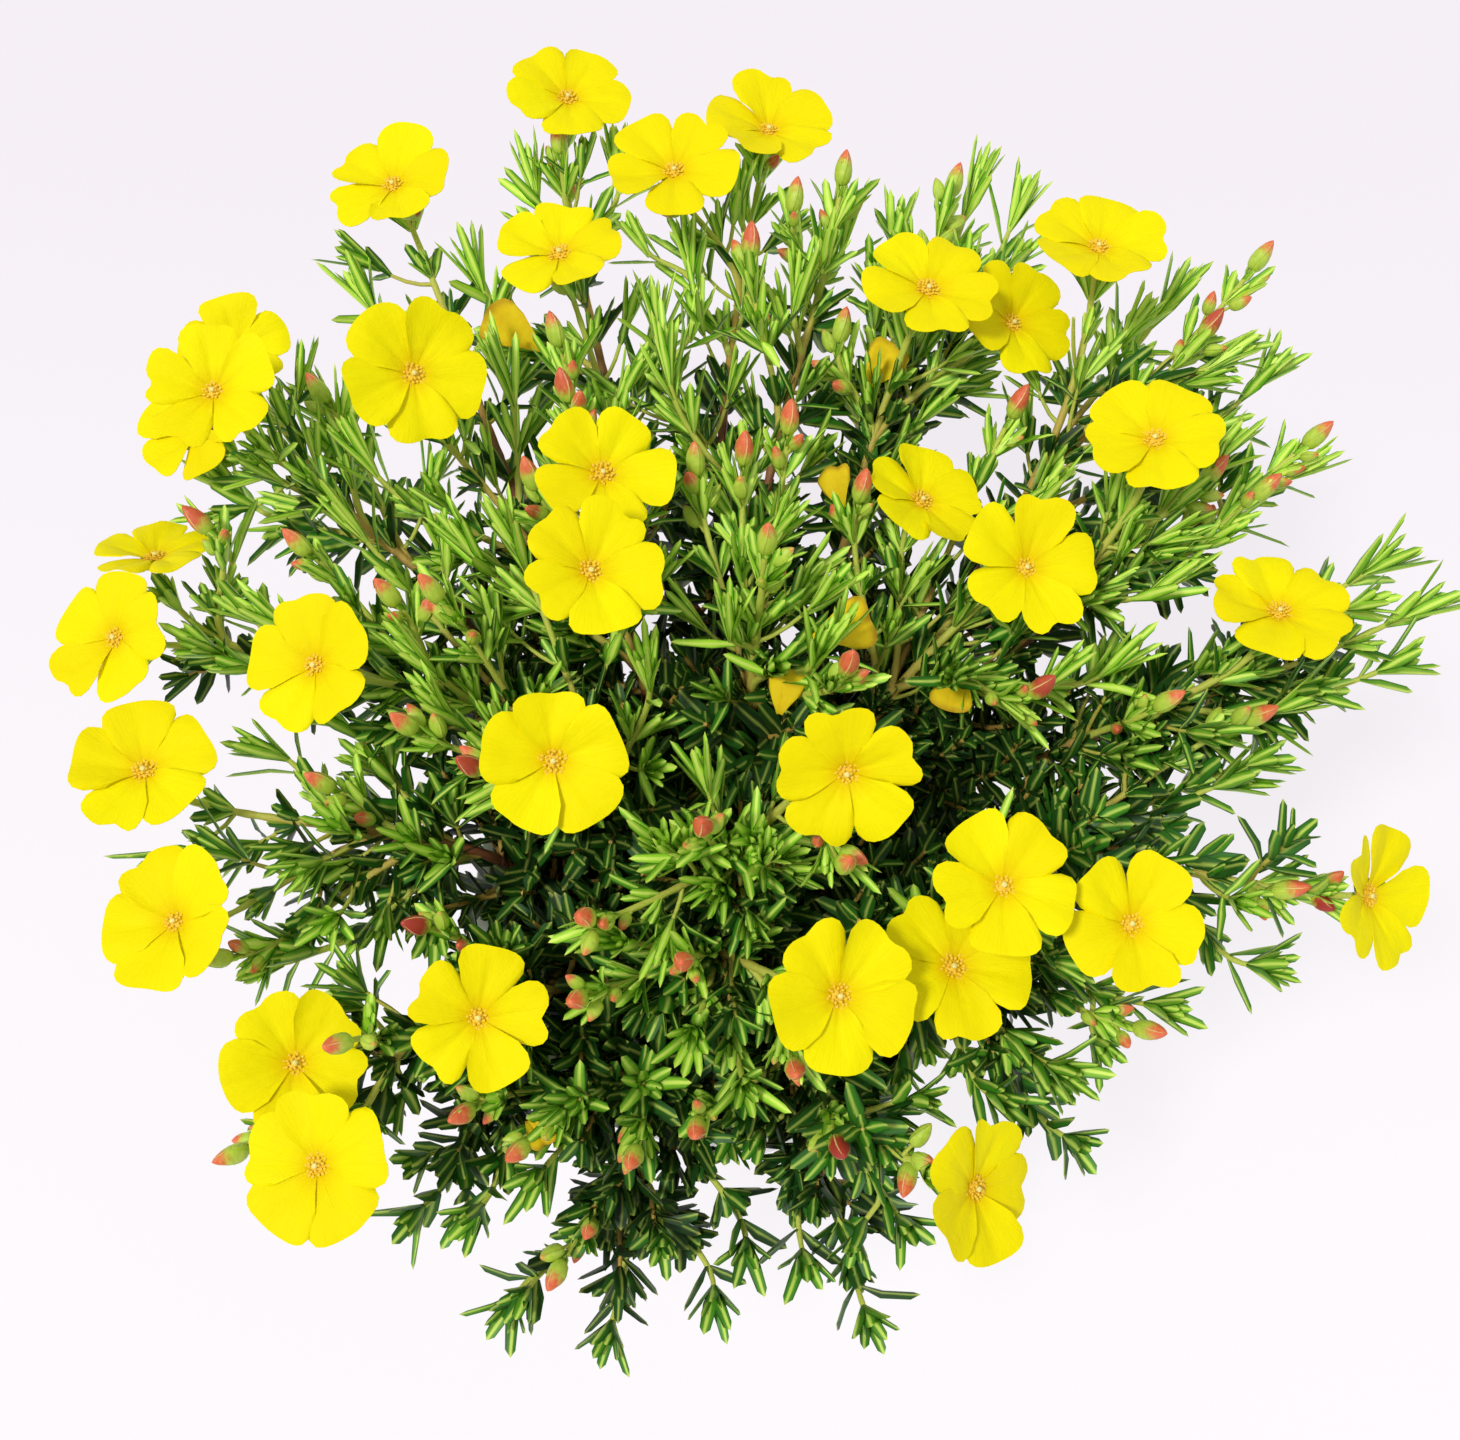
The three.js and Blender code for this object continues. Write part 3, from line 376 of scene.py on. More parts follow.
soil_body = Body(dark_compost)
soil_foot = POT_WALL + SEAT_GAP
hole_foot = SOIL_LEVEL - TRUNK_DEPTH - SEAT_GAP
hole_radius = TRUNK_RADIUS + SEAT_GAP
bed = [(NEAR_AXIS, soil_foot), (POT_FOOT_RADIUS - POT_WALL - SEAT_GAP, soil_foot)]
bed.append((soil_radius(SOIL_LEVEL - 2), SOIL_LEVEL - 2))
for share in np.linspace(1, 0, SOIL_RINGS):
    bed.append((between(hole_radius, soil_radius(SOIL_LEVEL - 1), share), SOIL_LEVEL))
bed.append((hole_radius * 0.9, hole_foot))
bed.append((NEAR_AXIS, hole_foot))
points, faces = turned(bed, SOIL_SIDES)
for point in points:
    if point[2] > SOIL_LEVEL - 1:
        point[2] = soil_height(point[0], point[1])
soil_body.add((points, faces))

soil_draw = np.random.default_rng(11)
for _ in range(CHIP_COUNT):
    reach = (soil_radius(SOIL_LEVEL) - 3) * math.sqrt(soil_draw.uniform(0.01, 1))
    around = soil_draw.uniform(0, 2 * math.pi)
    x, y = reach * math.cos(around), reach * math.sin(around)
    size = soil_draw.uniform(*CHIP_SIZES)
    points, faces = turned(CHIP_PROFILE * size, 6)
    points *= soil_draw.uniform(0.75, 1.25, points.shape)
    points *= np.array([1.0, soil_draw.uniform(0.4, 0.8), soil_draw.uniform(0.4, 0.8)])
    lean, turn = soil_draw.uniform(-0.5, 0.5), soil_draw.uniform(0, math.pi)
    cosine, sine = math.cos(turn), math.sin(turn)
    points = points @ np.array([[cosine, sine, 0], [-sine, cosine, lean], [0, -lean, 1]])
    chance = soil_draw.uniform(0, 1) ** 2
    soil_body.add((points + (x, y, soil_height(x, y) + 0.2 * size), faces), chance=chance)
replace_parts(soil_body.build("compost", sharp=50), "soil")

# Framework: the plant's own brown wood, a short trunk whose limbs arch out from just over the
# compost and fork towards the shoots. Its flaking bark is rough and red-brown.

TRUNK_TOP = 128
LIMB_STARTS = [118.5, 124.5]
LIMB_RADII = [2.7, 1.7]
BRANCH_RADII = [1.9, 1.5]
STEM_RADII = [1.5, 1.1]
TWIG_RADII = [1.15, 0.95]
SPRAY_REACH = 0.5
SHOOTS_POINT_FROM = np.array([0.0, 0.0, 60.0])
FORK_ANGLE = math.radians(38)
LATEST_FORK = 0.72
LIMB_RISE = 0.45
HANDLE_SHARE = 0.36
MARK_SPACING = 2.5
RIGHT = np.array([1.0, 0.0, 0.0])
UP = np.array([0.0, 0.0, 1.0])

# The photograph's view: its frame and focal length in pixels, and the lens
PHOTO_WIDTH = 1460
PHOTO_MIDDLE_ACROSS = 730
PHOTO_MIDDLE_DOWN = 720
PHOTO_FOCAL_PIXELS = 1900
LENS_DISTANCE = 500
LENS_DOWNWARD = math.radians(65)
LENS_AIM = np.array([0.0, 19.0, 200.0])
lens_forward = np.array([0.0, math.cos(LENS_DOWNWARD), -math.sin(LENS_DOWNWARD)])
lens_up = np.array([0.0, math.sin(LENS_DOWNWARD), math.cos(LENS_DOWNWARD)])
lens_place = LENS_AIM - lens_forward * LENS_DISTANCE


def unit(way):
    return way / np.linalg.norm(way, axis=-1, keepdims=True)


def on_photo(across, down, height):
    """The point at a height above the ground that shows at a pixel of the photograph."""
    ray = lens_forward * PHOTO_FOCAL_PIXELS + RIGHT * (across - PHOTO_MIDDLE_ACROSS)
    ray = ray + lens_up * (PHOTO_MIDDLE_DOWN - down)
    return lens_place + ray * (height - lens_place[2]) / ray[2]


def outward(place):
    return unit(place - SHOOTS_POINT_FROM)


def bloom(across, down, height, lean_right, lean_near, turn, width):
    """A flower that leans right and towards the viewer by degrees, with a petal at the turn."""
    slope_right = math.tan(math.radians(lean_right))
    slope_near = math.tan(math.radians(lean_near))
    place = on_photo(across, down, height)
    facing = unit(np.array([slope_right, -slope_near, 1.0]))
    return dict(kind="bloom", place=place, facing=facing, turn=math.radians(turn), width=width)


def leafy(across, down, height):
    place = on_photo(across, down, height)
    return dict(kind="leafy", place=place, facing=outward(place))


def buds(across, down, height, count):
    place = on_photo(across, down, height)
    return dict(kind="buds", place=place, facing=outward(place), count=count)


# Limbs, each a list of sprays, and each spray a list of tips with its leading one first
LIMBS = [
    [
        [
            bloom(568, 96, 213, 10, -5, 134, 36.6), bloom(559, 251, 224, -7, -6, 85, 35.3),
            leafy(525, 152, 200), buds(557, 138, 204, 2), leafy(465, 243, 196),
            leafy(612, 140, 202),
        ],
        [
            bloom(769, 128, 216, 8, -10, 100, 38.4), bloom(674, 169, 227, -3, -2, 128, 37.8),
            leafy(652, 286, 214), leafy(742, 172, 204), leafy(688, 226, 206),
        ],
        [
            buds(844, 168, 214, 2), buds(794, 195, 218, 3), buds(752, 240, 226, 3),
            leafy(850, 200, 202), leafy(800, 262, 212), leafy(664, 330, 220),
        ],
    ],
    [
        [
            bloom(392, 183, 210, -10, -1, 73, 37.1), bloom(414, 373, 240, 22, 20, 64, 38.4),
            leafy(350, 268, 190), leafy(345, 432, 205), leafy(490, 340, 214),
        ],
        [
            bloom(212, 390, 230, -1, 8, 98, 36.2), bloom(235, 351, 206, 5, 15, 28, 31.9),
            bloom(193, 430, 195, -18, 7, 223, 32), leafy(308, 380, 192), buds(318, 388, 202, 2),
            leafy(205, 462, 184),
        ],
        [
            bloom(155, 555, 187, -5, -36, 169, 31.8), bloom(113, 637, 190, -22, 15, 78, 36.8),
            leafy(185, 512, 186), leafy(215, 592, 184), buds(196, 520, 203, 1),
            buds(297, 541, 206, 2),
        ],
    ],
    [
        [
            bloom(603, 472, 232, 12, 5, 67, 36.1), bloom(591, 570, 244, 16, 10, 68, 35.4),
            buds(530, 474, 224, 1), buds(564, 385, 222, 2), buds(555, 329, 216, 1),
            leafy(456, 523, 222),
        ],
        [
            bloom(313, 665, 212, -19, 15, 97, 36.1), buds(430, 587, 230, 2),
            buds(386, 592, 220, 1), leafy(400, 640, 218), leafy(250, 604, 196),
            leafy(330, 500, 206),
        ],
        [
            bloom(553, 761, 227, 5, 27, 94, 35.3), leafy(496, 512, 232), buds(469, 763, 220, 2),
            buds(403, 722, 212, 1), leafy(420, 690, 212), leafy(640, 655, 226),
        ],
    ],
    [
        [
            bloom(143, 769, 198, -3, -3, 101, 37.2), bloom(173, 921, 192, -16, 7, 114, 37.9),
            leafy(240, 738, 188), buds(319, 782, 194, 2), buds(214, 957, 180, 1),
            leafy(268, 950, 176), leafy(300, 700, 196),
        ],
        [
            bloom(295, 1063, 180, 12, 11, 124, 36.1), bloom(315, 1166, 190, -12, 13, 90, 37.2),
            bloom(478, 1018, 196, 11, 22, 77, 34.9), buds(336, 1044, 202, 2),
            buds(231, 1155, 162, 1), buds(415, 925, 196, 2), leafy(452, 1236, 158),
            leafy(388, 1236, 148),
        ],
    ],
    [
        [
            leafy(598, 1366, 128), leafy(490, 1336, 132), leafy(712, 1330, 132),
            leafy(748, 1278, 138), buds(555, 1275, 146, 2), buds(632, 1158, 170, 2),
            buds(461, 1115, 176, 1), buds(517, 1152, 172, 1), leafy(520, 1196, 164),
            leafy(545, 1126, 176),
        ],
        [
            bloom(840, 996, 216, 18, 19, 50, 37.1), leafy(745, 1098, 184), buds(796, 1069, 196, 1),
            buds(683, 961, 208, 1), buds(576, 1000, 200, 2), leafy(612, 940, 204),
            leafy(690, 1040, 196),
        ],
        [
            bloom(978, 1189, 178, 44, 23, 67, 36.4), leafy(880, 1350, 132), leafy(812, 1290, 138),
            leafy(920, 1250, 148), buds(918, 1172, 168, 2), buds(840, 1148, 176, 1),
            buds(696, 1130, 178, 1),
        ],
    ],
    [
        [
            bloom(847, 774, 232, -4, 46, 98, 36), leafy(657, 836, 224), buds(702, 825, 228, 1),
            buds(847, 863, 222, 2), leafy(770, 850, 226), buds(584, 918, 214, 2),
        ],
        [
            bloom(1004, 885, 219, 4, 6, 51, 35.8), bloom(954, 966, 202, 9, 4, 64, 38.3),
            bloom(1132, 924, 206, 7, 10, 60, 34.7), leafy(1193, 1010, 172),
            buds(1150, 1030, 172, 2), leafy(1104, 1158, 150), leafy(1022, 1112, 164),
            leafy(1088, 1078, 172),
        ],
        [
            bloom(1371, 896, 195, 42, 21, 71, 36.4), leafy(1300, 966, 168), leafy(1334, 886, 182),
            buds(1290, 889, 188, 1), leafy(1262, 770, 168), buds(1261, 714, 182, 1),
            leafy(1290, 748, 168),
        ],
    ],
    [
        [
            bloom(1280, 610, 208, 0, -12, 101, 36.1), leafy(1410, 546, 182), leafy(1452, 592, 184),
            leafy(1428, 650, 176), buds(1170, 700, 192, 2), leafy(1320, 690, 180),
        ],
        [
            bloom(1155, 437, 232, -8, -3, 56, 36.5), buds(1318, 434, 200, 2),
            buds(1267, 487, 200, 2), buds(1215, 470, 208, 1), leafy(1240, 432, 202),
            leafy(1190, 560, 206),
        ],
        [
            bloom(1027, 567, 214, 14, 14, 148, 37.8), bloom(923, 499, 206, 20, -8, 89, 33.4),
            buds(863, 486, 214, 1), buds(1019, 401, 212, 1), leafy(1060, 470, 206),
            leafy(1075, 660, 208), leafy(1140, 645, 203), buds(1042, 685, 210, 2),
        ],
    ],
    [
        [
            bloom(929, 287, 226, 10, -4, 129, 37.8), bloom(1014, 322, 208, 25, 6, 62, 36.4),
            leafy(984, 157, 198), buds(955, 180, 204, 3), leafy(902, 204, 194),
            leafy(1028, 182, 194), buds(842, 325, 214, 2),
        ],
        [
            bloom(1099, 245, 226, 3, -10, 73, 36.6), leafy(1188, 272, 192), leafy(1150, 300, 198),
            buds(1262, 256, 204, 3), buds(1212, 323, 198, 2), leafy(1288, 350, 186),
        ],
        [
            buds(767, 538, 240, 2), buds(744, 448, 224, 1), buds(696, 459, 222, 2),
            buds(790, 417, 220, 1), leafy(823, 630, 234), buds(850, 662, 236, 2),
            leafy(730, 600, 228),
        ],
    ],
]


def seeded_draws(seed):
    """Repeatable draws from 0 to 1, which start again from each seed."""
    state = (seed * 40503) % 2**32
    while True:
        state = (state * 1664525 + 1013904223) % 2**32
        yield state / 2**32


class Run:
    """A cubic curve, walked by shares of its length."""

    TIMES = np.linspace(0, 1, 201)

    def __init__(self, start, first, second, end):
        self.corners = np.array([start, first, second, end])
        steps = np.linalg.norm(np.diff(self.at(self.TIMES), axis=0), axis=1)
        self.lengths = np.concatenate([[0.0], np.cumsum(steps)])
        self.length = self.lengths[-1]

    def at(self, time):
        time = np.asarray(time, float)[..., None]
        rest = 1 - time
        weights = [rest**3, 3 * rest**2 * time, 3 * rest * time**2, time**3]
        return np.concatenate(weights, axis=-1) @ self.corners

    def time(self, share):
        return np.interp(np.asarray(share) * self.length, self.lengths, self.TIMES)

    def place(self, share):
        return self.at(self.time(share))

    def way(self, share):
        time = self.time(share)
        return unit(self.at(np.minimum(time + 1e-4, 1)) - self.at(np.maximum(time - 1e-4, 0)))

    def axes(self, share):
        """The curve's way, and two directions square to it that stay steady along it."""
        forward = self.way(share)
        chord = unit(self.corners[3] - self.corners[0])
        second = unit(np.cross(forward, RIGHT if abs(chord[2]) > 0.8 else UP))
        return forward, np.cross(second, forward), second

    def beside(self, share, angle):
        """The curve's way, and the direction square to it at an angle round it."""
        forward, one, two = self.axes(share)
        return forward, one * math.cos(angle) + two * math.sin(angle)


def arched(start, end, start_way, end_way, bow=0.0):
    """A curve that leaves and arrives by the given ways, pushed aside by a bow."""
    handle = np.linalg.norm(end - start) * HANDLE_SHARE
    return Run(start, start + start_way * handle + bow, end - end_way * handle + 0.5 * bow, end)


def fork_share(stem, place):
    """Where a side twig leaves its stem, so that it forks at a natural angle."""
    shares = np.arange(41) / 40
    gaps = np.linalg.norm(stem.place(shares) - place, axis=1)
    nearest = int(np.argmin(gaps))
    set_back = gaps[nearest] / math.tan(FORK_ANGLE) / stem.length
    return min(max(shares[nearest] - set_back, 0.05), LATEST_FORK)


def tube(run, radii, sides, step, knots=0.06):
    """A tapering round stem along a curve, a little thicker at each of its joints."""
    count = max(4, math.ceil(run.length / step) + 1)
    shares = np.linspace(0, 1, count)
    first, second = run.axes(shares)[1:]
    swell = 1 + knots * np.sin(shares * run.length * 0.9)
    radius = (between(radii[0], radii[1], shares) * swell)[:, None, None]
    cosine, sine = circle(sides)
    ring = first[:, None] * cosine[:, None] + second[:, None] * sine[:, None]
    rings = run.place(shares)[:, None] + radius * ring
    shape = skin(rings[None], run.place(0)[None], run.place(1)[None])
    return shape, np.concatenate([np.repeat(shares, sides), [0, 1]])


brown_bark = Finish("brown_bark", Roughness=0.8, Specular_IOR_Level=0.25)
flakes = brown_bark.grain(1.1, 5, (1, 1, 0.35))
patches = brown_bark.grain(9, 3)
fresh_bark = brown_bark.blend(flakes.rise(0.4, 0.62), colour("7a4424"), colour("b06c3c"))
old_bark = brown_bark.blend(flakes.rise(0.4, 0.62), colour("452a1c"), colour("7d5b43"))
brown_bark.feed(
    Base_Color=brown_bark.blend(patches.rise(0.35, 0.65), fresh_bark, old_bark),
    Roughness=0.65 + 0.3 * flakes,
    Normal=brown_bark.bump(flakes, 0.5),
)

wood_body = Body(brown_bark)
trunk_foot = np.array([0, 0, SOIL_LEVEL - TRUNK_DEPTH])
trunk = arched(trunk_foot, UP * TRUNK_TOP, UP, UP)
wood_body.add(tube(trunk, (TRUNK_RADIUS * 0.95, TRUNK_RADIUS * 0.7), 20, 2)[0])
marks = []
sprays = []
wood_runs = []


def points_along(run):
    return run.place(np.linspace(0, 1, math.ceil(run.length / MARK_SPACING) + 1))


def add_marks(points, radius, owner):
    """Keeps room round some points of a piece, for what grows after it."""
    marks.append((points, np.full(len(points), radius), owner))


def plant_spray(tips, base, way):
    name = f"leafy_spray_{len(sprays) + 1:02d}"
    sprays.append(dict(name=name, tips=tips, base=base + way * SEAT_GAP, way=way))


def grow_limb(run, radii, sides):
    """Adds a limb's wood, and keeps it for the shoots that grow on it."""
    wood_body.add(tube(run, radii, sides, 1.5)[0])
    wood_runs.append(run)
    add_marks(points_along(run), radii[0], "woody_stems")


for number, limb in enumerate(LIMBS):
    crown = UP * LIMB_STARTS[number % 2]
    means = [np.mean([tip["place"] for tip in tips], axis=0) for tips in limb]
    bases = [between(crown, mean, SPRAY_REACH) for mean in means]
    ways = [outward(base) for base in bases]
    flat = unit((bases[1] - crown) * (1, 1, 0))
    limb_run = arched(crown, bases[1], unit(flat + UP * LIMB_RISE), ways[1])
    grow_limb(limb_run, LIMB_RADII, 12)
    for place, tips in enumerate(limb):
        plant_spray(tips, bases[place], ways[place])
        if place == 1:
            continue
        share = max(0.25, fork_share(limb_run, bases[place]))
        start = limb_run.place(share)
        start_way = unit(limb_run.way(share) + unit(bases[place] - start))
        grow_limb(arched(start, bases[place], start_way, ways[place]), BRANCH_RADII, 10)
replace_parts(wood_body.build("brown_wood"), "woody_stems")

# Flowers: five thin yellow petals, crinkled from the bud, each over one neighbour and under the
# other, round a tuft of golden stamens with one pale stigma. A flower sits on its green calyx.

BOSS_HEIGHT = 3.4
PETAL_ROWS = 12
PETAL_COLUMNS = 15
PETAL_HALF_ANGLES = [36.5, 43]
PETAL_CLAW = 1.2
PETAL_BODY = 0.16
PETAL_SINK = 0.15
PETAL_LAP = 0.45
PETAL_RUFFLE = 1.4
PETAL_CREASE = 0.55
PETAL_DISH = 0.5
STAMEN_COUNT = 36
STAMEN_REACH = 3.7
STAMEN_HEIGHT = 3.6
STAMEN_TURN = 2.39996
FLOWER_MARK_SPACING = 3.4
FLOWER_ROOM = 1.9
IN_PETAL, IN_STAMEN, IN_STIGMA = 0, 1, 2
# Profiles of the pale stigma and the heap under the stamens, as radius and height
STIGMA = [(0.5, 0.8), (0.45, 2.8), (0.7, 3.6), (0.75, 4.0), (0.45, 4.3)]
HEAP = [(1.9, 0), (2.6, 1.2), (2.2, 2.2), (1.0, 2.7)]


def petal_height(share, width, cup):
    """A petal's height over the flower's seat, at a share of the flower's radius."""
    return BOSS_HEIGHT / 2 + (width / 2) * cup * (share - 0.42 * share * share)


def bloom_cup(number):
    return between(0.42, 0.6, next(seeded_draws(9000 + number)))


def bloom_axes(facing):
    """The flower's own axes as the rows of a turn."""
    across = unit(RIGHT - facing * facing[0])
    return np.array([across, np.cross(facing, across), facing])


def bloom_seat(tip):
    return tip["place"] - tip["facing"] * BOSS_HEIGHT


def leaf_of_two_faces(upper, lower):
    """A closed thin blade between two grids of points, the first of them on top."""
    rows, columns = upper.shape[:2]
    points = np.concatenate([upper.reshape(-1, 3), lower.reshape(-1, 3)])
    spot = np.arange(rows * columns).reshape(rows, columns)
    a, b, c, d = spot[:-1, :-1], spot[1:, :-1], spot[1:, 1:], spot[:-1, 1:]
    top = np.concatenate([np.stack([a, b, c], -1), np.stack([a, c, d], -1)]).reshape(-1, 3)
    under = top[:, ::-1] + rows * columns
    edge = np.concatenate([spot[0, :-1], spot[:-1, -1], spot[-1, :0:-1], spot[:0:-1, 0]])
    after = np.roll(edge, -1)
    low_edge, low_after = edge + rows * columns, after + rows * columns
    rim = [np.stack([edge, after, low_after], -1), np.stack([edge, low_after, low_edge], -1)]
    return points, np.concatenate([top, under, *rim])


def petal_shape(turn, reach, width, cup, half_angle, draw):
    """A broad petal with a narrow claw, a waved outer edge and a crease down its middle."""
    along = np.linspace(0, 1, PETAL_ROWS)[:, None] ** 0.85
    across = np.linspace(-1, 1, PETAL_COLUMNS)[None, :]
    waves = sum(
        draw.uniform(-1, 1) * np.sin(k * 1.7 * across + draw.uniform(0, 6)) / k
        for k in (1, 2, 3, 5)
    )
    notch_depth = max(draw.uniform(-0.05, 0.13), 0)
    notch = notch_depth * np.exp(-(((across - draw.uniform(-0.3, 0.3)) / 0.2) ** 2))
    corner = draw.uniform(0.42, 0.56) * np.abs(across) ** draw.uniform(3.8, 6)
    edge = reach * (1.035 + 0.1 * across**2 - corner - notch + 0.04 * waves)
    radius = between(PETAL_CLAW, edge, along)
    opened = np.clip(along / 0.5, 0, 1)
    half = math.radians(half_angle) * np.ones_like(opened)
    half = np.maximum(half, math.radians(40) * (1 - opened))
    angle = turn + half * across
    share = radius / (width / 2)
    ruffle = sum(
        draw.uniform(-1, 1) * np.sin(k * 2.1 * across + draw.uniform(0, 6) + along * 2) / k
        for k in (1, 2, 3)
    )
    crease = np.exp(-((across / 0.13) ** 2)) * np.sin(math.pi * along)
    height = petal_height(share, width, cup) - PETAL_SINK + PETAL_LAP * across * opened
    height = height + PETAL_RUFFLE * along**2 * ruffle - PETAL_CREASE * crease
    height = height + draw.uniform(-1.6, 1.4) * along**2 - draw.uniform(0.0, 1.2) * along**5
    dish = PETAL_DISH * np.sin(math.pi * along) * (1 - across**2)
    upper = np.stack([radius * np.cos(angle), radius * np.sin(angle), height - dish], axis=-1)
    shape = leaf_of_two_faces(upper, upper - (0, 0, PETAL_BODY))
    values = [np.broadcast_to(value, upper.shape[:2]).ravel() for value in (along, across)]
    return shape, [np.tile(value, 2) for value in values]


def stamen_shapes(draw):
    """The tuft: fine stalks that lean outward, and then the small anthers on their ends."""
    number = np.arange(STAMEN_COUNT)
    reach = STAMEN_REACH * np.sqrt((number + 2.5) / (STAMEN_COUNT + 2.5))
    reach = reach * draw.uniform(0.9, 1.1, STAMEN_COUNT)
    angle = number * STAMEN_TURN + draw.uniform(-0.15, 0.15, STAMEN_COUNT)
    ray = np.stack([np.cos(angle), np.sin(angle), np.zeros(STAMEN_COUNT)], axis=-1)
    rise = STAMEN_HEIGHT - 0.09 * reach**2 + draw.uniform(-0.35, 0.35)
    top = ray * reach[:, None] + UP * rise[:, None]
    foot = ray * 0.9 + UP * 0.9
    aside = np.cross(UP, ray)
    for radius, levels, girths, sides in (
        (0.14, (0.0, 1.0), (1, 1), 3),
        (0.46, (0.94, 1.08), (0.9, 0.8), 5),
    ):
        cosine, sine = circle(sides)
        ring = aside[:, None] * cosine[:, None] - ray[:, None] * sine[:, None]
        rings = []
        for level, girth in zip(levels, girths):
            middle = between(foot, top, level) + UP * (0.25 * math.sin(math.pi * min(level, 1)))
            rings.append(middle[:, None] + ring * radius * girth)
        start = between(foot, top, levels[0] - 0.02)
        end = between(foot, top, levels[-1] + 0.06)
        yield skin(np.stack(rings, axis=1), start, end)


yellow_petal = Finish("yellow_petal", Roughness=0.6, Specular_IOR_Level=0.08)
along, across = yellow_petal.value("along"), abs(yellow_petal.value("across"))
petal_chance = yellow_petal.value("chance")
vein_places = {0: yellow_petal.value("across") * 26, 1: along * 1.6, 2: petal_chance * 90}
vein_sockets = {
    "Vector": yellow_petal.node("ShaderNodeCombineXYZ", {}, vein_places),
    "Scale": 1.0,
    "Detail": 2.0,
}
vein_grain = yellow_petal.node("ShaderNodeTexNoise", {}, vein_sockets)
crinkle = yellow_petal.grain(3.5, 4)
# Painted shade: each petal turns golden towards the flower's middle, where the cup lies in shade
heart_shade = 1 - along.rise(0.0, 0.42)
# Painted shadow: the petal's sides darken near its base, where the petals lie over each other
overlap_shadow = across.rise(0.55, 1.0) * (1 - along.rise(0.15, 0.75))
clear_yellow = yellow_petal.blend(petal_chance, colour("f2e800"), colour("eede00"))
lit_yellow = yellow_petal.blend(vein_grain.rise(0.35, 0.75) * 0.2, clear_yellow, colour("e9cf00"))
golden = yellow_petal.blend(heart_shade * 0.55 + overlap_shadow * 0.1, lit_yellow, colour("e8ba00"))
yellow_petal.feed(
    Base_Color=golden,
    Roughness=0.55 + 0.2 * crinkle,
    Normal=yellow_petal.bump(0.35 * vein_grain + crinkle, 0.35),
)

golden_stamen = Finish("golden_stamen", Roughness=0.6)
pollen = golden_stamen.grain(0.5)
golden_stamen.feed(Base_Color=golden_stamen.blend(pollen, colour("f8d838"), colour("ecb81c")))
pale_stigma = Finish("pale_stigma", Roughness=0.5)
dimples = pale_stigma.grain(0.4)
pale_stigma.feed(
    Base_Color=pale_stigma.blend(dimples, colour("f4ea96"), colour("e0d070")),
    Normal=pale_stigma.bump(dimples, 0.1),
)

blooms = [tip for spray in sprays for tip in spray["tips"] if tip["kind"] == "bloom"]
for number, tip in enumerate(blooms):
    tip["owner"] = f"bloom_{number + 1:02d}"
    tip["cup"] = bloom_cup(number)
    axes, seat, width = bloom_axes(tip["facing"]), bloom_seat(tip), tip["width"]
    first_draws = seeded_draws(7000 + number)
    draw = np.random.default_rng(300 + number)
    flower = Body(yellow_petal, golden_stamen, pale_stigma)
    half_angle = between(*PETAL_HALF_ANGLES, draw.uniform(0, 1))
    for i in range(5):
        reach = width / 2 * between(0.95, 1, next(first_draws))
        # Each petal takes six draws in all, of which its reach is the first
        for _ in range(5):
            next(first_draws)
        turn = tip["turn"] + math.radians(72 * i)
        petal = petal_shape(turn, reach, width, tip["cup"], half_angle, draw)
        (points, faces), (along_petal, across_petal) = petal
        chance = draw.uniform(0, 1)
        values = dict(along=along_petal, across=across_petal, chance=chance)
        flower.add((points @ axes + seat, faces), IN_PETAL, **values)
    middle = [(shape, IN_STAMEN) for shape in stamen_shapes(draw)]
    middle += [(turned(STIGMA, 10), IN_STIGMA), (turned(HEAP, 12), IN_STAMEN)]
    for (points, faces), kind in middle:
        flower.add((points @ axes + seat, faces), kind)
    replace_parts(flower.build(f"flower_{number + 1:02d}", sharp=60), tip["owner"])
    rings = []
    for radius in np.arange(0, width / 2, FLOWER_MARK_SPACING):
        count = max(1, round(2 * math.pi * radius / FLOWER_MARK_SPACING))
        angles = np.arange(count) / count * 2 * math.pi
        height = petal_height(radius / (width / 2), width, tip["cup"]) - 0.4
        ring = [radius * np.cos(angles), radius * np.sin(angles), np.full(count, height)]
        rings.append(np.stack(ring, axis=-1))
    add_marks(np.concatenate(rings) @ axes + seat, FLOWER_ROOM, tip["owner"])

# Fallen petals: a few spent petals that have dropped from their flowers and lie among the
# leaves, curled and dull gold. Each is the same thin petal, and rests where it was caught.

# Where each shows in the photograph, its height, its turn in degrees and its reach
FALLEN = [
    (515, 332, 202, 150, 17), (880, 367, 200, 60, 14), (836, 487, 198, 100, 12),
    (843, 628, 217, 20, 16), (953, 690, 194, 250, 13), (784, 692, 208, 70, 12),
    (537, 1132, 168, 300, 9),
]
FALLEN_CUP = 1.1
FALLEN_HALF_ANGLE = 34

spent_petal = Finish("spent_petal", Roughness=0.7, Specular_IOR_Level=0.1)
withering = spent_petal.grain(4, 4)
browned = spent_petal.value("along").rise(0.8, 1.0) * withering
spent_gold = spent_petal.blend(withering, colour("f2dc1c"), colour("e0b420"))
spent_petal.feed(
    Base_Color=spent_petal.blend(browned, spent_gold, colour("8a5a20")),
    Normal=spent_petal.bump(withering, 0.4),
)

